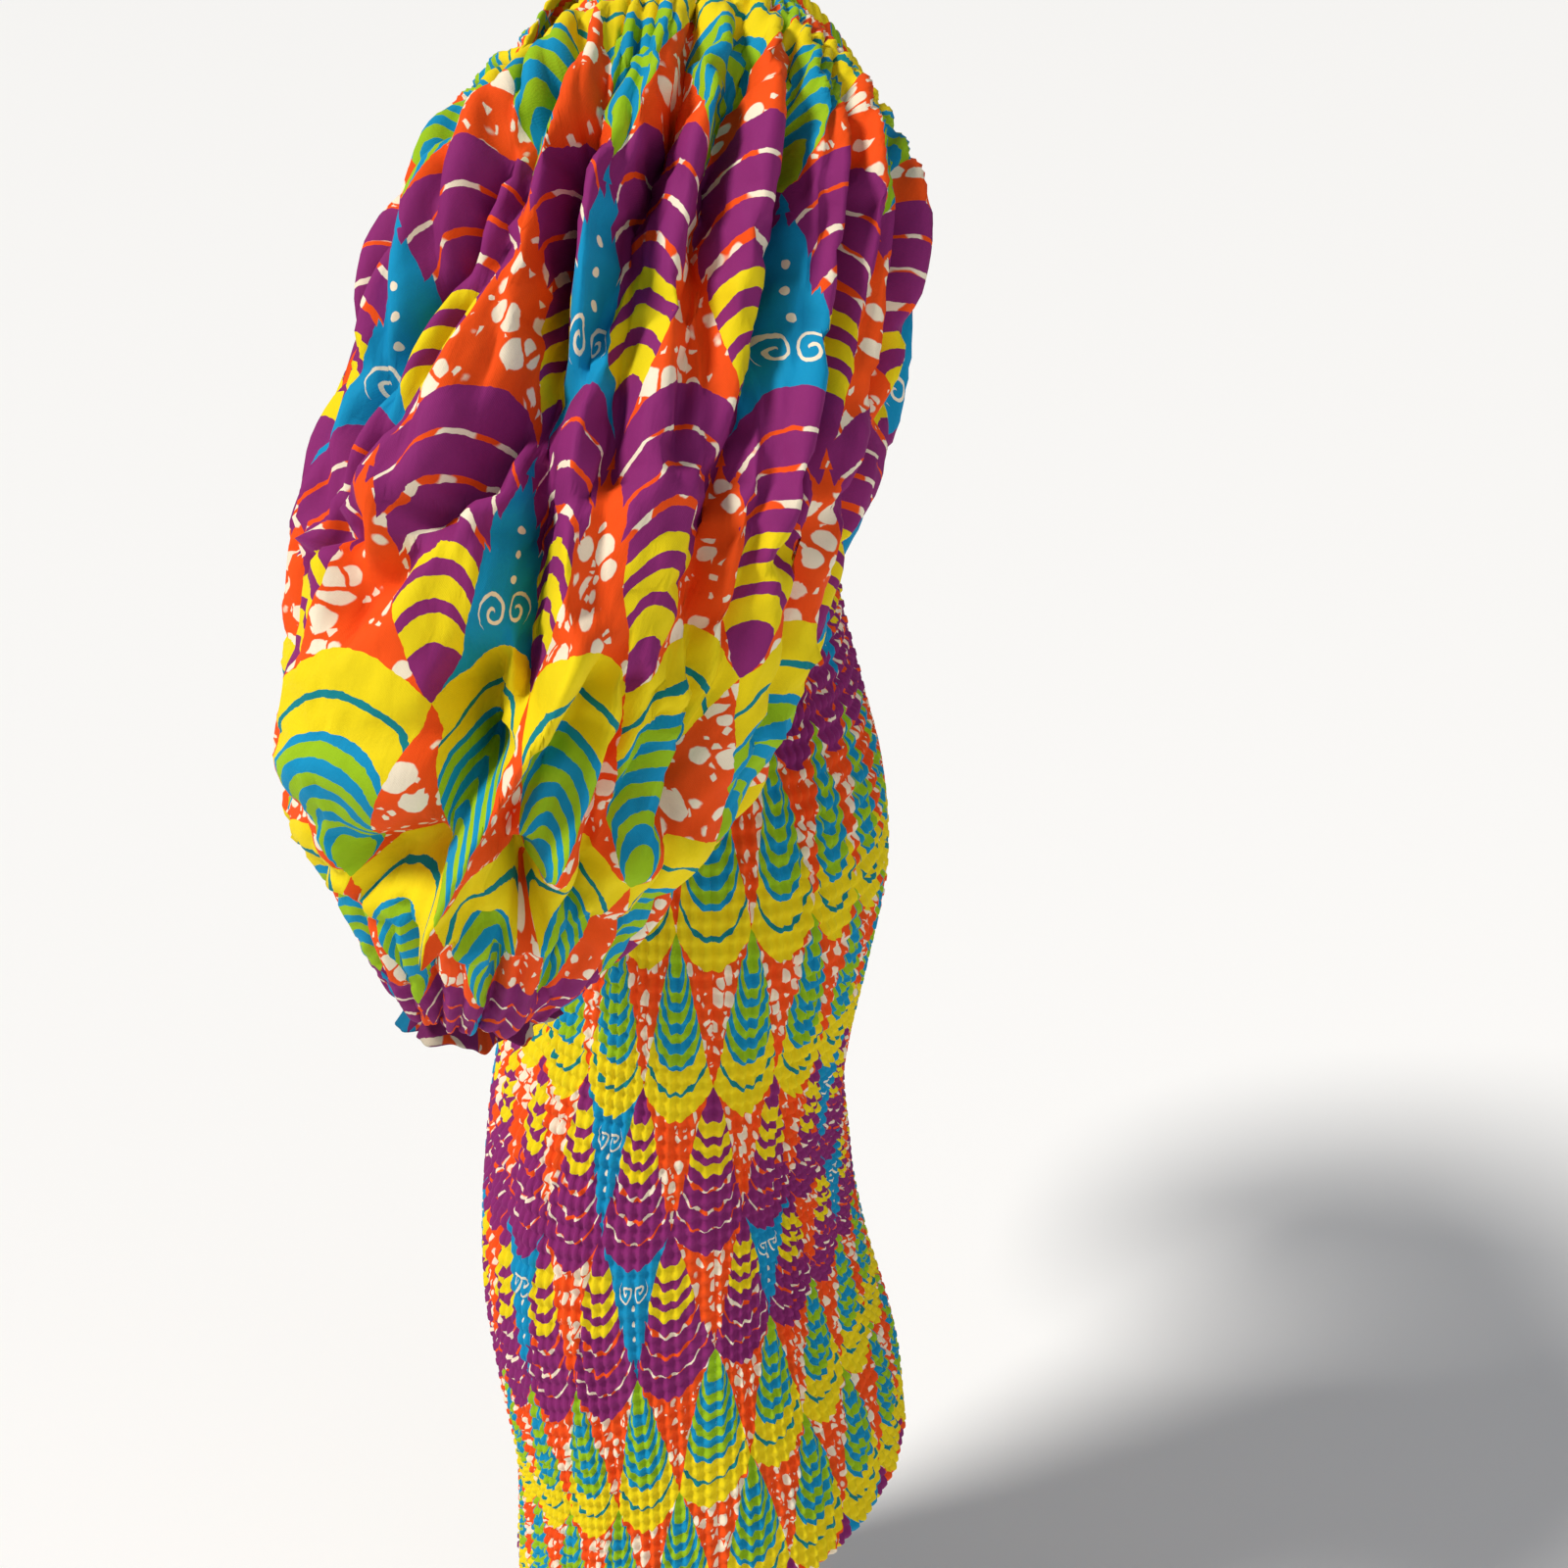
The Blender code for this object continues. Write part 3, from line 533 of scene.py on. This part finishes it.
def settle(points, hold):
    """The solver's springs, gravity and a pull to the start, which is firmer where hold is larger."""
    rows, columns = points.shape[:2]
    index = np.arange(rows * columns).reshape(rows, columns)
    index = np.concatenate([index, index[:, :1]], axis=1)
    quads = np.stack([index[:-1, :-1], index[:-1, 1:], index[1:, 1:], index[1:, :-1]], axis=2)
    mesh = bpy.data.meshes.new("coarse_sleeve")
    mesh.from_pydata(points.reshape(-1, 3).tolist(), [], quads.reshape(-1, 4).tolist())
    obj = bpy.data.objects.new("coarse_sleeve", mesh)
    bpy.context.scene.collection.objects.link(obj)
    group = obj.vertex_groups.new(name="hold")
    for row, weight in enumerate(hold):
        group.add(index[row, :-1].tolist(), float(weight), "REPLACE")
    cloth = obj.modifiers.new("settle", "CLOTH")
    made = cloth.settings
    made.quality, made.mass, made.air_damping = 6, 0.002, 2.0
    made.tension_stiffness = made.compression_stiffness = 40.0
    made.shear_stiffness, made.bending_stiffness = 15.0, 0.05
    made.vertex_group_mass, made.pin_stiffness = "hold", 1.0
    made.shrink_min = -CLOTH_GROWTH
    cloth.collision_settings.use_collision = False
    cloth.collision_settings.use_self_collision = False
    cloth.point_cache.frame_start, cloth.point_cache.frame_end = 1, SETTLE_FRAMES
    for frame in range(1, SETTLE_FRAMES + 1):
        bpy.context.scene.frame_set(frame)
    seen = obj.evaluated_get(bpy.context.evaluated_depsgraph_get()).data
    moved = np.empty(rows * columns * 3, dtype=np.float32)
    seen.vertices.foreach_get("co", moved)
    bpy.data.objects.remove(obj)
    bpy.context.scene.frame_set(1)
    moved = moved.reshape(points.shape).astype(float)
    shift = moved - points
    size = np.linalg.norm(shift, axis=-1, keepdims=True)
    print(f"settled by {1000 * size.mean():.1f} mm on average and {1000 * size.max():.1f} mm at most")
    return points + shift * np.minimum(1.0, LONGEST_MOVE / np.maximum(size, 1e-9))


def finer(points, rows_at, columns):
    """Catmull-Rom curves up the sleeve and round it."""
    points = through(points, rows_at)
    wrapped = np.concatenate([points[:, -2:], points, points[:, :3]], axis=1)
    at = 2 + np.arange(columns) * points.shape[1] / columns
    return through(wrapped.transpose(1, 0, 2), at).transpose(1, 0, 2)


def row_places(top, middle, bottom):
    """Rows from 0 to 1, with counts of their own in the top tenth, the middle and the bottom."""
    spans = ((0, 0.10, top), (0.10, 0.86, middle))
    return np.concatenate([np.linspace(*span)[:-1] for span in spans] + [np.linspace(0.86, 1, bottom)])


def sleeve_grid(right, seed):
    """Smooth sleeve, broad relief, the solver's settling, then fine relief along the normals."""
    rows = row_places(14, 54, 18)
    turns = np.arange(ROUND_SAMPLES) * 2 * math.pi / ROUND_SAMPLES
    base = sleeve_base(turns, rows, right)
    surface = base - outward(base, closed=True) * broad_relief(np.degrees(turns), rows, seed)[..., None]
    points = even_columns(surface, rows, SETTLE_COLUMNS)
    hold = 1 - (1 - PULL) * smooth_step(0.0, 0.07, rows) * (1 - smooth_step(0.95, 0.985, rows))
    looser = LOWER_LESS * smooth_step(0.55, 0.8, rows) * (1 - smooth_step(0.94, 0.96, rows))
    hold = hold - looser
    points = settle(points, hold)
    fine_rows = row_places(24, 78, 30)
    points = finer(points, np.interp(fine_rows, rows, np.arange(len(rows))), SLEEVE_COLUMNS)
    degrees = np.arange(SLEEVE_COLUMNS) * 360 / SLEEVE_COLUMNS
    points = points - outward(points, closed=True) * fine_relief(degrees, fine_rows, seed)[..., None]
    turned = sleeve_start(np.radians(degrees), TURNED_IN) - [0, 0, 0.0008]
    points = np.concatenate([turned[None], points])
    return np.roll(points, SLEEVE_COLUMNS // 2, axis=1), np.concatenate([[-0.006], fine_rows])


def sleeve_cloth(rows):
    """Metres of flat cloth from the underarm seam round to it again, and from neck edge to cuff."""
    share = np.arange(SLEEVE_COLUMNS + 1) / SLEEVE_COLUMNS
    across = (share - 0.5) * SLEEVE_FLAT[0] - PRINT_SHIFT
    off = np.abs(share - 0.5) * 360
    cut_away = RAGLAN_CUT * smooth_step(CUT_FROM, CUT_TO, off)
    along = cut_away[None, :] + rows[:, None] * (SLEEVE_FLAT[1] - cut_away[None, :])
    return np.stack([np.broadcast_to(across, along.shape), along - PRINT_DROP], axis=-1)


sleeves = {}
for side, right, seed in (("left", 0.0, 3), ("right", 1.0, 40)):
    points, rows = sleeve_grid(right, seed)
    cloth = sleeve_cloth(rows)
    if right:
        points = points * np.array([-1.0, 1.0, 1.0])
    sleeves[side] = cloth_mesh(f"sleeve_{side}_cloth", points, cloth, closed=True, flip=not right)
    thicken(sleeves[side], TUBE_THICKNESS)
    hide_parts(f"sleeve_{side}")

# %% [markdown]
# ## The neckline casing
# The sleeves' and panels' top edges are turned over a narrow elastic, which draws them up into tight
# puckers all round the neck. A rounded strip is carried round the neck loop, and its outside is
# raised in about 150 small pleats.

# %% Casing
CASING_HEIGHT, CASING_THICKNESS, CASING_PLEATS = 0.012, 0.0034, 150
PUCKER_UP, PUCKER_OUT = 0.0013, 0.0018


def casing_grid():
    """A rounded strip, 12 mm tall and 3.4 mm thick, raised by the size of a warped cosine."""
    columns = CASING_PLEATS * 6
    turns = np.arange(columns) * 2 * math.pi / columns
    loop, up, out = neck_point(turns), neck_up(turns), neck_out(turns)
    profile = np.arange(16) * 2 * math.pi / 16
    height = 0.5 - 0.5 * signed_power(np.cos(profile), 0.7)
    depth = -signed_power(np.sin(profile), 0.7)
    warp = 0.9 * np.sin(7 * turns + 1) + 0.7 * np.sin(13 * turns + 2) + 0.5 * np.sin(29 * turns)
    pucker = np.abs(np.cos(turns * CASING_PLEATS / 2 + warp)) - 0.6
    lift = (CASING_HEIGHT * height)[:, None] + PUCKER_UP * height[:, None] * pucker[None, :]
    relief = PUCKER_OUT * pucker[None, :] * (0.35 + 0.65 * depth[:, None])
    outwards = 0.0018 + 0.5 * CASING_THICKNESS * depth[:, None] + relief
    points = loop[None] + up[None] * lift[..., None] + out[None] * outwards[..., None]
    across = np.arange(columns + 1) / columns * SLEEVE_FLAT[0] * 2
    along = -0.020 + 0.016 * np.append(height, height[0]) - 0.004
    cloth = np.stack(np.broadcast_arrays(across[None, :], along[:, None]), axis=-1)
    return np.concatenate([points, points[:1]]), cloth


points, cloth = casing_grid()
casing = cloth_mesh("neckline_casing_cloth", points, cloth, closed=True)
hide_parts("neckline_casing")

# %% [markdown]
# ## The cuffs
# Under each sleeve's fullness sits a narrow elastic band, and the cloth below it opens into a short
# frill. One tube makes both: puckered and straight at the band, flared and waved at the frill.

# %% Cuffs
CUFF_FLAT = (0.34, 0.040)


def cuff_grid(seed):
    """Radius by height: the band's, then a flare. Waves grow from puckers to a frill of ten lobes."""
    columns, rows = 200, 30
    turns = np.arange(columns) * 2 * math.pi / columns
    drop = np.linspace(0, CUFF_BAND_HEIGHT + FRILL_DEPTH, rows)[:, None]
    frill = np.clip((drop - CUFF_BAND_HEIGHT) / FRILL_DEPTH, 0, 1)
    band = smooth_step(0, 0.003, drop) * (1 - smooth_step(0.010, 0.016, drop))
    pick = np.random.default_rng(seed)
    warp = 0.6 * np.sin(3 * turns + pick.uniform(0, 6)) + 0.4 * np.sin(5 * turns + pick.uniform(0, 6))
    pucker = 0.0012 * (np.abs(np.cos(15 * turns + 2 * warp)) - 0.6)
    lobes = 0.0042 * np.cos(10 * turns + warp) + 0.0014 * np.cos(23 * turns + 2 * warp)
    radius = CUFF_RADIUS + FRILL_FLARE * frill**1.2 + lobes * frill + pucker * (1 - frill) - 0.0012 * band
    wrist = SLEEVE_RINGS[-1]
    x = wrist[0] + radius * np.cos(turns)
    y = wrist[1] + radius * np.sin(turns)
    z = wrist[2] - ORIGIN_HEIGHT - 0.0006 - drop + 0.0015 * frill * np.sin(7 * turns + warp)
    across = np.arange(columns + 1) / columns * CUFF_FLAT[0]
    along = 0.556 + drop * 1.05
    cloth = np.stack(np.broadcast_arrays(across[None, :], along), axis=-1)
    return np.stack([x, y, z], axis=-1), cloth


cuffs = {}
for side, seed in (("left", 5), ("right", 6)):
    points, cloth = cuff_grid(seed)
    if side == "right":
        points = points * np.array([-1.0, 1.0, 1.0])
    cuffs[side] = cloth_mesh(f"cuff_{side}_cloth", points, cloth, closed=True, flip=side == "left")
    thicken(cuffs[side], TUBE_THICKNESS)
    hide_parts(f"cuff_{side}")

# %% [markdown]
# ## Shader maths
# A wax print is drawn by arithmetic on the cloth map. Writing that arithmetic node by node is hard
# to read, so one small class wraps a socket, and plain Python operators on it add Math nodes.

# %% A socket that does arithmetic


class Wire:
    """A node's output. Operators add Math nodes, and node() adds a node of any other type."""

    def __init__(self, tree, socket):
        self.tree, self.socket = tree, socket

    def node(self, kind, settings, values, output=0):
        """Adds a node: settings first, a ramp's stops among them, then numbers or links for sockets."""
        made = self.tree.nodes.new(kind)
        for key, value in settings.items():
            if key == "stops":
                ramp = made.color_ramp
                ramp.interpolation = "CONSTANT"
                for place, colour in value[1:]:
                    ramp.elements.new(place).color = (*colour, 1.0)
                ramp.elements[0].color = (*value[0][1], 1.0)
                ramp.elements.remove(ramp.elements[len(ramp.elements) - 1])
            else:
                setattr(made, key, value)
        for key, value in values.items():
            if isinstance(value, Wire):
                self.tree.links.new(value.socket, made.inputs[key])
            else:
                made.inputs[key].default_value = value
        return Wire(self.tree, made.outputs[output])

    def maths(self, operation, *operands):
        """A Math node with these operands."""
        return self.node("ShaderNodeMath", {"operation": operation}, dict(enumerate(operands)))

    def mix(self, other, factor):
        """This colour turned towards another colour by factor."""
        return self.node("ShaderNodeMix", {"data_type": "RGBA"}, {0: factor, 6: self, 7: other}, output=2)

    def smooth(self, low, high):
        """0 below low, 1 above high, with a smooth rise between."""
        settings = {"interpolation_type": "SMOOTHSTEP"}
        return self.node("ShaderNodeMapRange", settings, {"Value": self, "From Min": low, "From Max": high})

    def __add__(self, other):
        return self.maths("ADD", self, other)

    def __radd__(self, other):
        return self.maths("ADD", other, self)

    def __sub__(self, other):
        return self.maths("SUBTRACT", self, other)

    def __rsub__(self, other):
        return self.maths("SUBTRACT", other, self)

    def __mul__(self, other):
        return self.maths("MULTIPLY", self, other)

    def __rmul__(self, other):
        return self.maths("MULTIPLY", other, self)

    def __truediv__(self, other):
        return self.maths("DIVIDE", self, other)

    def __pow__(self, other):
        return self.maths("POWER", self, other)

    def __mod__(self, other):
        return self.maths("FLOORED_MODULO", self, other)

    def __lt__(self, other):
        return self.maths("LESS_THAN", self, other)

    def __gt__(self, other):
        return self.maths("GREATER_THAN", self, other)

    def __abs__(self):
        return self.maths("ABSOLUTE", self)

    def __floor__(self):
        return self.maths("FLOOR", self)


# %% [markdown]
# ## The wax print
# The print is rows of upturned cones, set like fish scales: the tip of each cone falls where two
# domes of the next row meet. Two rows are purple with yellow bands near the tip, and two are yellow
# over lime and blue stripes. The ground between cones is orange with the cream bubbles that broken
# wax leaves, and here and there a plain blue panel with two cream curls and a row of dots.

# %% The print's sizes and colours
CONE_PITCH, ROW_PITCH, DOME = 0.090, 0.113, 0.025
ORANGE, CREAM, PURPLE = (0.83, 0.078, 0.006), (0.85, 0.74, 0.56), (0.235, 0.020, 0.145)
YELLOW, LIME = (0.80, 0.62, 0.006), (0.30, 0.50, 0.010)
BLUE, TEAL = (0.004, 0.26, 0.49), (0.005, 0.21, 0.25)
# where each colour starts, as a share of the way down a cone
PURPLE_BANDS = (
    (0.0, PURPLE), (0.127, ORANGE), (0.143, PURPLE), (0.25, ORANGE), (0.268, PURPLE), (0.366, ORANGE),
    (0.395, PURPLE), (0.475, YELLOW), (0.532, PURPLE), (0.589, YELLOW), (0.66, PURPLE), (0.70, YELLOW),
    (0.795, PURPLE),
)
YELLOW_BANDS = (
    (0.0, YELLOW), (0.140, TEAL), (0.167, YELLOW), (0.280, BLUE), (0.315, LIME), (0.375, BLUE),
    (0.43, LIME), (0.49, BLUE), (0.545, LIME), (0.60, BLUE), (0.655, LIME), (0.705, BLUE), (0.78, LIME),
)


# %% Draw the print


def wax_print(start):
    """The print's colour from the cloth map, in metres of flat cloth."""
    place = start.node("ShaderNodeUVMap", {"uv_map": "cloth"}, {})
    rough = {"Vector": place, "Scale": 170.0, "Detail": 2.0}
    tremble = start.node("ShaderNodeTexNoise", {}, rough, output=1)
    centred = {0: tremble, 1: (0.5, 0.5, 0.5)}
    tremble = start.node("ShaderNodeVectorMath", {"operation": "SUBTRACT"}, centred)
    tremble = start.node("ShaderNodeVectorMath", {"operation": "SCALE"}, {0: tremble, "Scale": 0.0022})
    place = start.node("ShaderNodeVectorMath", {"operation": "ADD"}, {0: place, 1: tremble})
    across = start.node("ShaderNodeSeparateXYZ", {}, {0: place}, output=0)
    along = start.node("ShaderNodeSeparateXYZ", {}, {0: place}, output=1)

    row = math.floor(along / ROW_PITCH)
    down = along - row * ROW_PITCH
    shift = (row % 2.0) * 0.5
    own = ((across / CONE_PITCH + shift + 0.5) % 1.0) - 0.5
    beside = ((across / CONE_PITCH + 1.0 - shift) % 1.0) - 0.5
    panel = math.floor(across / CONE_PITCH + 1.0 - shift)

    dome = (1.0 - (beside * 2.0) ** 2.0) * DOME
    above_next = dome - (ROW_PITCH - down)
    left = 1.0 - down / ROW_PITCH
    purple_row = 1.0 - (abs((row % 4.0) - 1.5) > 1.0)
    notch = down.smooth(0.008, 0.030) * (1.0 - down.smooth(0.040, 0.062)) * purple_row
    half = (left ** 0.76) * 0.5 + 0.0005 - notch * 0.045
    bend = half + (0.5 - half) * purple_row
    inner_arc = down + (1.0 - (own * own) / (half * bend)) * DOME
    flare = ((inner_arc * (1.0 / (0.125 * (ROW_PITCH + DOME)))) % 1.0) * 0.045
    flare = flare * purple_row * (inner_arc < 0.40 * (ROW_PITCH + DOME)) * (down > 0.010)
    in_cone = abs(own) < (half + flare)
    in_dome = (above_next > 0.0) * (1.0 - in_cone)
    depth = (in_cone * inner_arc + in_dome * above_next) / (ROW_PITCH + DOME)
    cone_row = (row + in_dome) % 4.0
    yellow_row = abs(cone_row - 1.5) > 1.0

    purple = start.node("ShaderNodeValToRGB", {"stops": PURPLE_BANDS}, {0: depth})
    yellow = start.node("ShaderNodeValToRGB", {"stops": YELLOW_BANDS}, {0: depth})
    dashes = start.node("ShaderNodeTexNoise", {}, {"Vector": place, "Scale": 75.0, "Detail": 0.0})
    line_stops = tuple((p, (1.0,) * 3 if c is ORANGE else (0.0,) * 3) for p, c in PURPLE_BANDS)
    on_line = start.node("ShaderNodeValToRGB", {"stops": line_stops}, {0: depth})
    purple = purple.mix((*CREAM, 1.0), on_line * dashes.smooth(0.50, 0.54))
    cone = purple.mix(yellow, yellow_row)

    cells = {"Vector": place, "Scale": 72.0, "Randomness": 0.95}
    edge = start.node("ShaderNodeTexVoronoi", {"feature": "DISTANCE_TO_EDGE"}, cells)
    tint = start.node("ShaderNodeTexVoronoi", {"feature": "F1"}, cells, output=1)
    pick = start.node("ShaderNodeSeparateColor", {}, {0: tint}, output=0)
    size = start.node("ShaderNodeSeparateColor", {}, {0: tint}, output=1)
    near = start.node("ShaderNodeTexVoronoi", {"feature": "F1"}, cells)
    bubble = (size * 0.34 + 0.26 - near).smooth(0.0, 0.05) * edge.smooth(0.040, 0.07) * (pick < 0.92)
    small = {"Vector": place, "Scale": 230.0, "Randomness": 1.0}
    speck_edge = start.node("ShaderNodeTexVoronoi", {"feature": "DISTANCE_TO_EDGE"}, small)
    speck_tint = start.node("ShaderNodeTexVoronoi", {"feature": "F1"}, small, output=1)
    speck_pick = start.node("ShaderNodeSeparateColor", {}, {0: speck_tint}, output=2)
    speck = speck_edge.smooth(0.16, 0.24) * (speck_pick < 0.12)
    patches = {"Vector": place, "Scale": 22.0, "Detail": 1.0}
    patchy = start.node("ShaderNodeTexNoise", {}, patches).smooth(0.20, 0.30)
    bubbles = (bubble * patchy).maths("MAXIMUM", bubble * patchy, speck)
    seed_colour = start.node("ShaderNodeRGB", {}, {})
    seed_colour.socket.default_value = (*ORANGE, 1.0)
    crackle = seed_colour.mix((*CREAM, 1.0), bubbles)

    far = beside * CONE_PITCH
    beside_curl, low = abs(far) - 0.0090, down - 0.072
    reach = (beside_curl * beside_curl + low * low) ** 0.5
    angle = start.maths("ARCTAN2", low, beside_curl)
    arm = abs(((reach - angle * 0.00095) % 0.0060) - 0.0030) < 0.0009
    curl = arm * (reach < 0.0090) * (reach > 0.0010)
    drop = ((down - 0.028) % 0.012) - 0.006
    dots = ((far * far + drop * drop) ** 0.5 < 0.0020) * (down > 0.028) * (down < 0.064)
    white = start.maths("MINIMUM", curl + dots, 1.0)
    seed_blue = start.node("ShaderNodeRGB", {}, {})
    seed_blue.socket.default_value = (*BLUE, 1.0)
    blue_panel = seed_blue.mix((*CREAM, 1.0), white)
    first = (abs((row % 4.0) - 1.0) < 0.5) * ((panel % 2.0) > 0.5)
    second = (abs((row % 4.0) - 2.0) < 0.5) * ((panel % 4.0) > 2.5)
    ground = crackle.mix(blue_panel, first + second)
    return place, ground.mix(cone, start.maths("MINIMUM", in_cone + in_dome, 1.0))


# %% [markdown]
# ## The cotton itself
# Wax print cotton is matt and closely woven. Its dye is a little uneven, and each thread is slightly
# darker at its sides. The weave is a pair of crossed waves on the cloth map, so it turns with the
# folds. A soft bump under it stands for rumples that are too small for the mesh.

# %% Materials
THREAD_PITCH = 0.0010


def cotton(name, painted_shade=0.0):
    """Printed cotton: the wax print, uneven dye, painted shade as a fixed darkening, and a matt woven
    surface over soft rumples.
    """
    material = bpy.data.materials.new(name)
    material.use_nodes = True
    tree = material.node_tree
    shader = tree.nodes["Principled BSDF"]
    start = Wire(tree, shader.outputs[0])
    place, colour = wax_print(start)
    across = start.node("ShaderNodeSeparateXYZ", {}, {0: place}, output=0)
    along = start.node("ShaderNodeSeparateXYZ", {}, {0: place}, output=1)
    wave = 2 * math.pi / THREAD_PITCH
    threads = start.maths("SINE", across * wave) * start.maths("SINE", along * wave)
    slub = start.node("ShaderNodeTexNoise", {}, {"Vector": place, "Scale": 900.0, "Detail": 2.0})
    dye = start.node("ShaderNodeTexNoise", {}, {"Vector": place, "Scale": 38.0, "Detail": 4.0})
    # painted shade: the fixed darkening lowers the whole colour, for the shadow a piece hangs in; dye, slub
    # and threads are the cloth's own tone
    dye_and_painted_shade = 0.84 - painted_shade + dye * 0.26 + slub * 0.10 + threads * 0.030
    colour = start.node("ShaderNodeVectorMath", {"operation": "SCALE"}, {0: colour, "Scale": dye_and_painted_shade})
    weave = threads * 0.35 + slub
    along_cloth = {0: place, 1: (1.0, 0.45, 1.0)}
    stretched = start.node("ShaderNodeVectorMath", {"operation": "MULTIPLY"}, along_cloth)
    rumples = {"Vector": stretched, "Scale": 60.0, "Detail": 3.0, "Distortion": 0.6}
    rumple = start.node("ShaderNodeTexNoise", {}, rumples)
    soft = start.node("ShaderNodeBump", {}, {"Strength": 0.5, "Distance": 0.0030, "Height": rumple})
    woven = {"Strength": 0.30, "Distance": 0.0004, "Height": weave, "Normal": soft}
    bump = start.node("ShaderNodeBump", {}, woven)
    links = {"Base Color": colour, "Roughness": 0.68 + dye * 0.16, "Normal": bump}
    for socket, wire in links.items():
        tree.links.new(wire.socket, shader.inputs[socket])
    shader.inputs["Specular IOR Level"].default_value = 0.14
    print(f"{name}: {len(tree.nodes)} nodes")
    return material


sleeve_cotton = cotton("wax_print_sleeve")
for obj in (*bodies.values(), *sleeves.values(), casing):
    obj.data.materials.append(sleeve_cotton)
# the cuffs get painted shade: their colour is darkened by 0.45 for the shadow under the sleeves' fullness
cuff_cotton_painted_shade = cotton("wax_print_cuff_painted_shade", painted_shade=0.45)
for obj in cuffs.values():
    obj.data.materials.append(cuff_cotton_painted_shade)

# %% [markdown]
# ## Studio
# The dress keeps its worn form with nothing in it, so it stands clear of a plain pale floor. A soft
# sun high on the front side models the folds from the side, as daylight does, and a wide, weak light
# fills in from behind the camera.

# %% Floor, lights and world


def plain_floor():
    """A wide square, well below the hem, at the level where a wearer would stand."""
    mesh = bpy.data.meshes.new("floor")
    half = 30.0
    corners = [(-half, -half), (half, -half), (half, half), (-half, half)]
    mesh.from_pydata([(x, y, -ORIGIN_HEIGHT) for x, y in corners], [], [(0, 1, 2, 3)])
    floor = bpy.data.objects.new("floor", mesh)
    bpy.context.scene.collection.objects.link(floor)
    paint = bpy.data.materials.new("pale_floor")
    paint.use_nodes = True
    paint.node_tree.nodes["Principled BSDF"].inputs["Base Color"].default_value = (0.95, 0.95, 0.95, 1.0)
    paint.node_tree.nodes["Principled BSDF"].inputs["Roughness"].default_value = 0.9
    mesh.materials.append(paint)


def light(kind, name, place, target, **settings):
    """A light of this kind, aimed from place at target."""
    data = bpy.data.lights.new(name, kind)
    for key, value in settings.items():
        setattr(data, key, value)
    lamp = bpy.data.objects.new(name, data)
    lamp.location = place
    lamp.rotation_euler = (Vector(target) - Vector(place)).to_track_quat("-Z", "Y").to_euler()
    bpy.context.scene.collection.objects.link(lamp)


plain_floor()
warm_sun = {"angle": math.radians(14.0), "energy": 3.05, "color": (1.0, 0.97, 0.92)}
light("SUN", "key", (1.0, -1.9, 2.2), (0.2, 0.0, -0.2), **warm_sun)
light("AREA", "fill", (2.6, 1.4, 0.6), (0.2, 0.0, -0.4), shape="SQUARE", size=2.2, energy=10.0)
world = bpy.data.worlds.new("studio")
world.use_nodes = True
world.node_tree.nodes["Background"].inputs["Color"].default_value = (0.92, 0.95, 1.0, 1.0)
world.node_tree.nodes["Background"].inputs["Strength"].default_value = 0.29
bpy.context.scene.world = world
bpy.context.scene.view_settings.view_transform = "Standard"

# %% [markdown]
# ## Camera
# The photograph is a close view of the left side from a little in front, from shoulder height and
# looking down by 24 degrees. Its distance was found by matching the outlines of sleeve and skirt.

# %% Camera
AZIMUTH, PITCH = math.radians(83.5), math.radians(24.0)
DISTANCE, EYE_HEIGHT, SIDEWAYS, LENS = 1.3, 1.45, 0.0646, 47.93
right = Vector((math.cos(AZIMUTH), math.sin(AZIMUTH), 0.0))
ahead = Vector((-math.sin(AZIMUTH), math.cos(AZIMUTH), 0.0))
camera_data = bpy.data.cameras.new("camera")
camera_data.lens, camera_data.sensor_width = LENS, 36.0
camera_data.clip_start = 0.02
camera = bpy.data.objects.new("camera", camera_data)
camera.location = right * SIDEWAYS - ahead * DISTANCE + Vector((0, 0, EYE_HEIGHT - ORIGIN_HEIGHT))
aim = ahead * math.cos(PITCH) - Vector((0, 0, math.sin(PITCH)))
camera.rotation_euler = aim.to_track_quat("-Z", "Y").to_euler()
bpy.context.scene.collection.objects.link(camera)
bpy.context.scene.camera = camera
print("camera at", [round(v, 3) for v in camera.location])
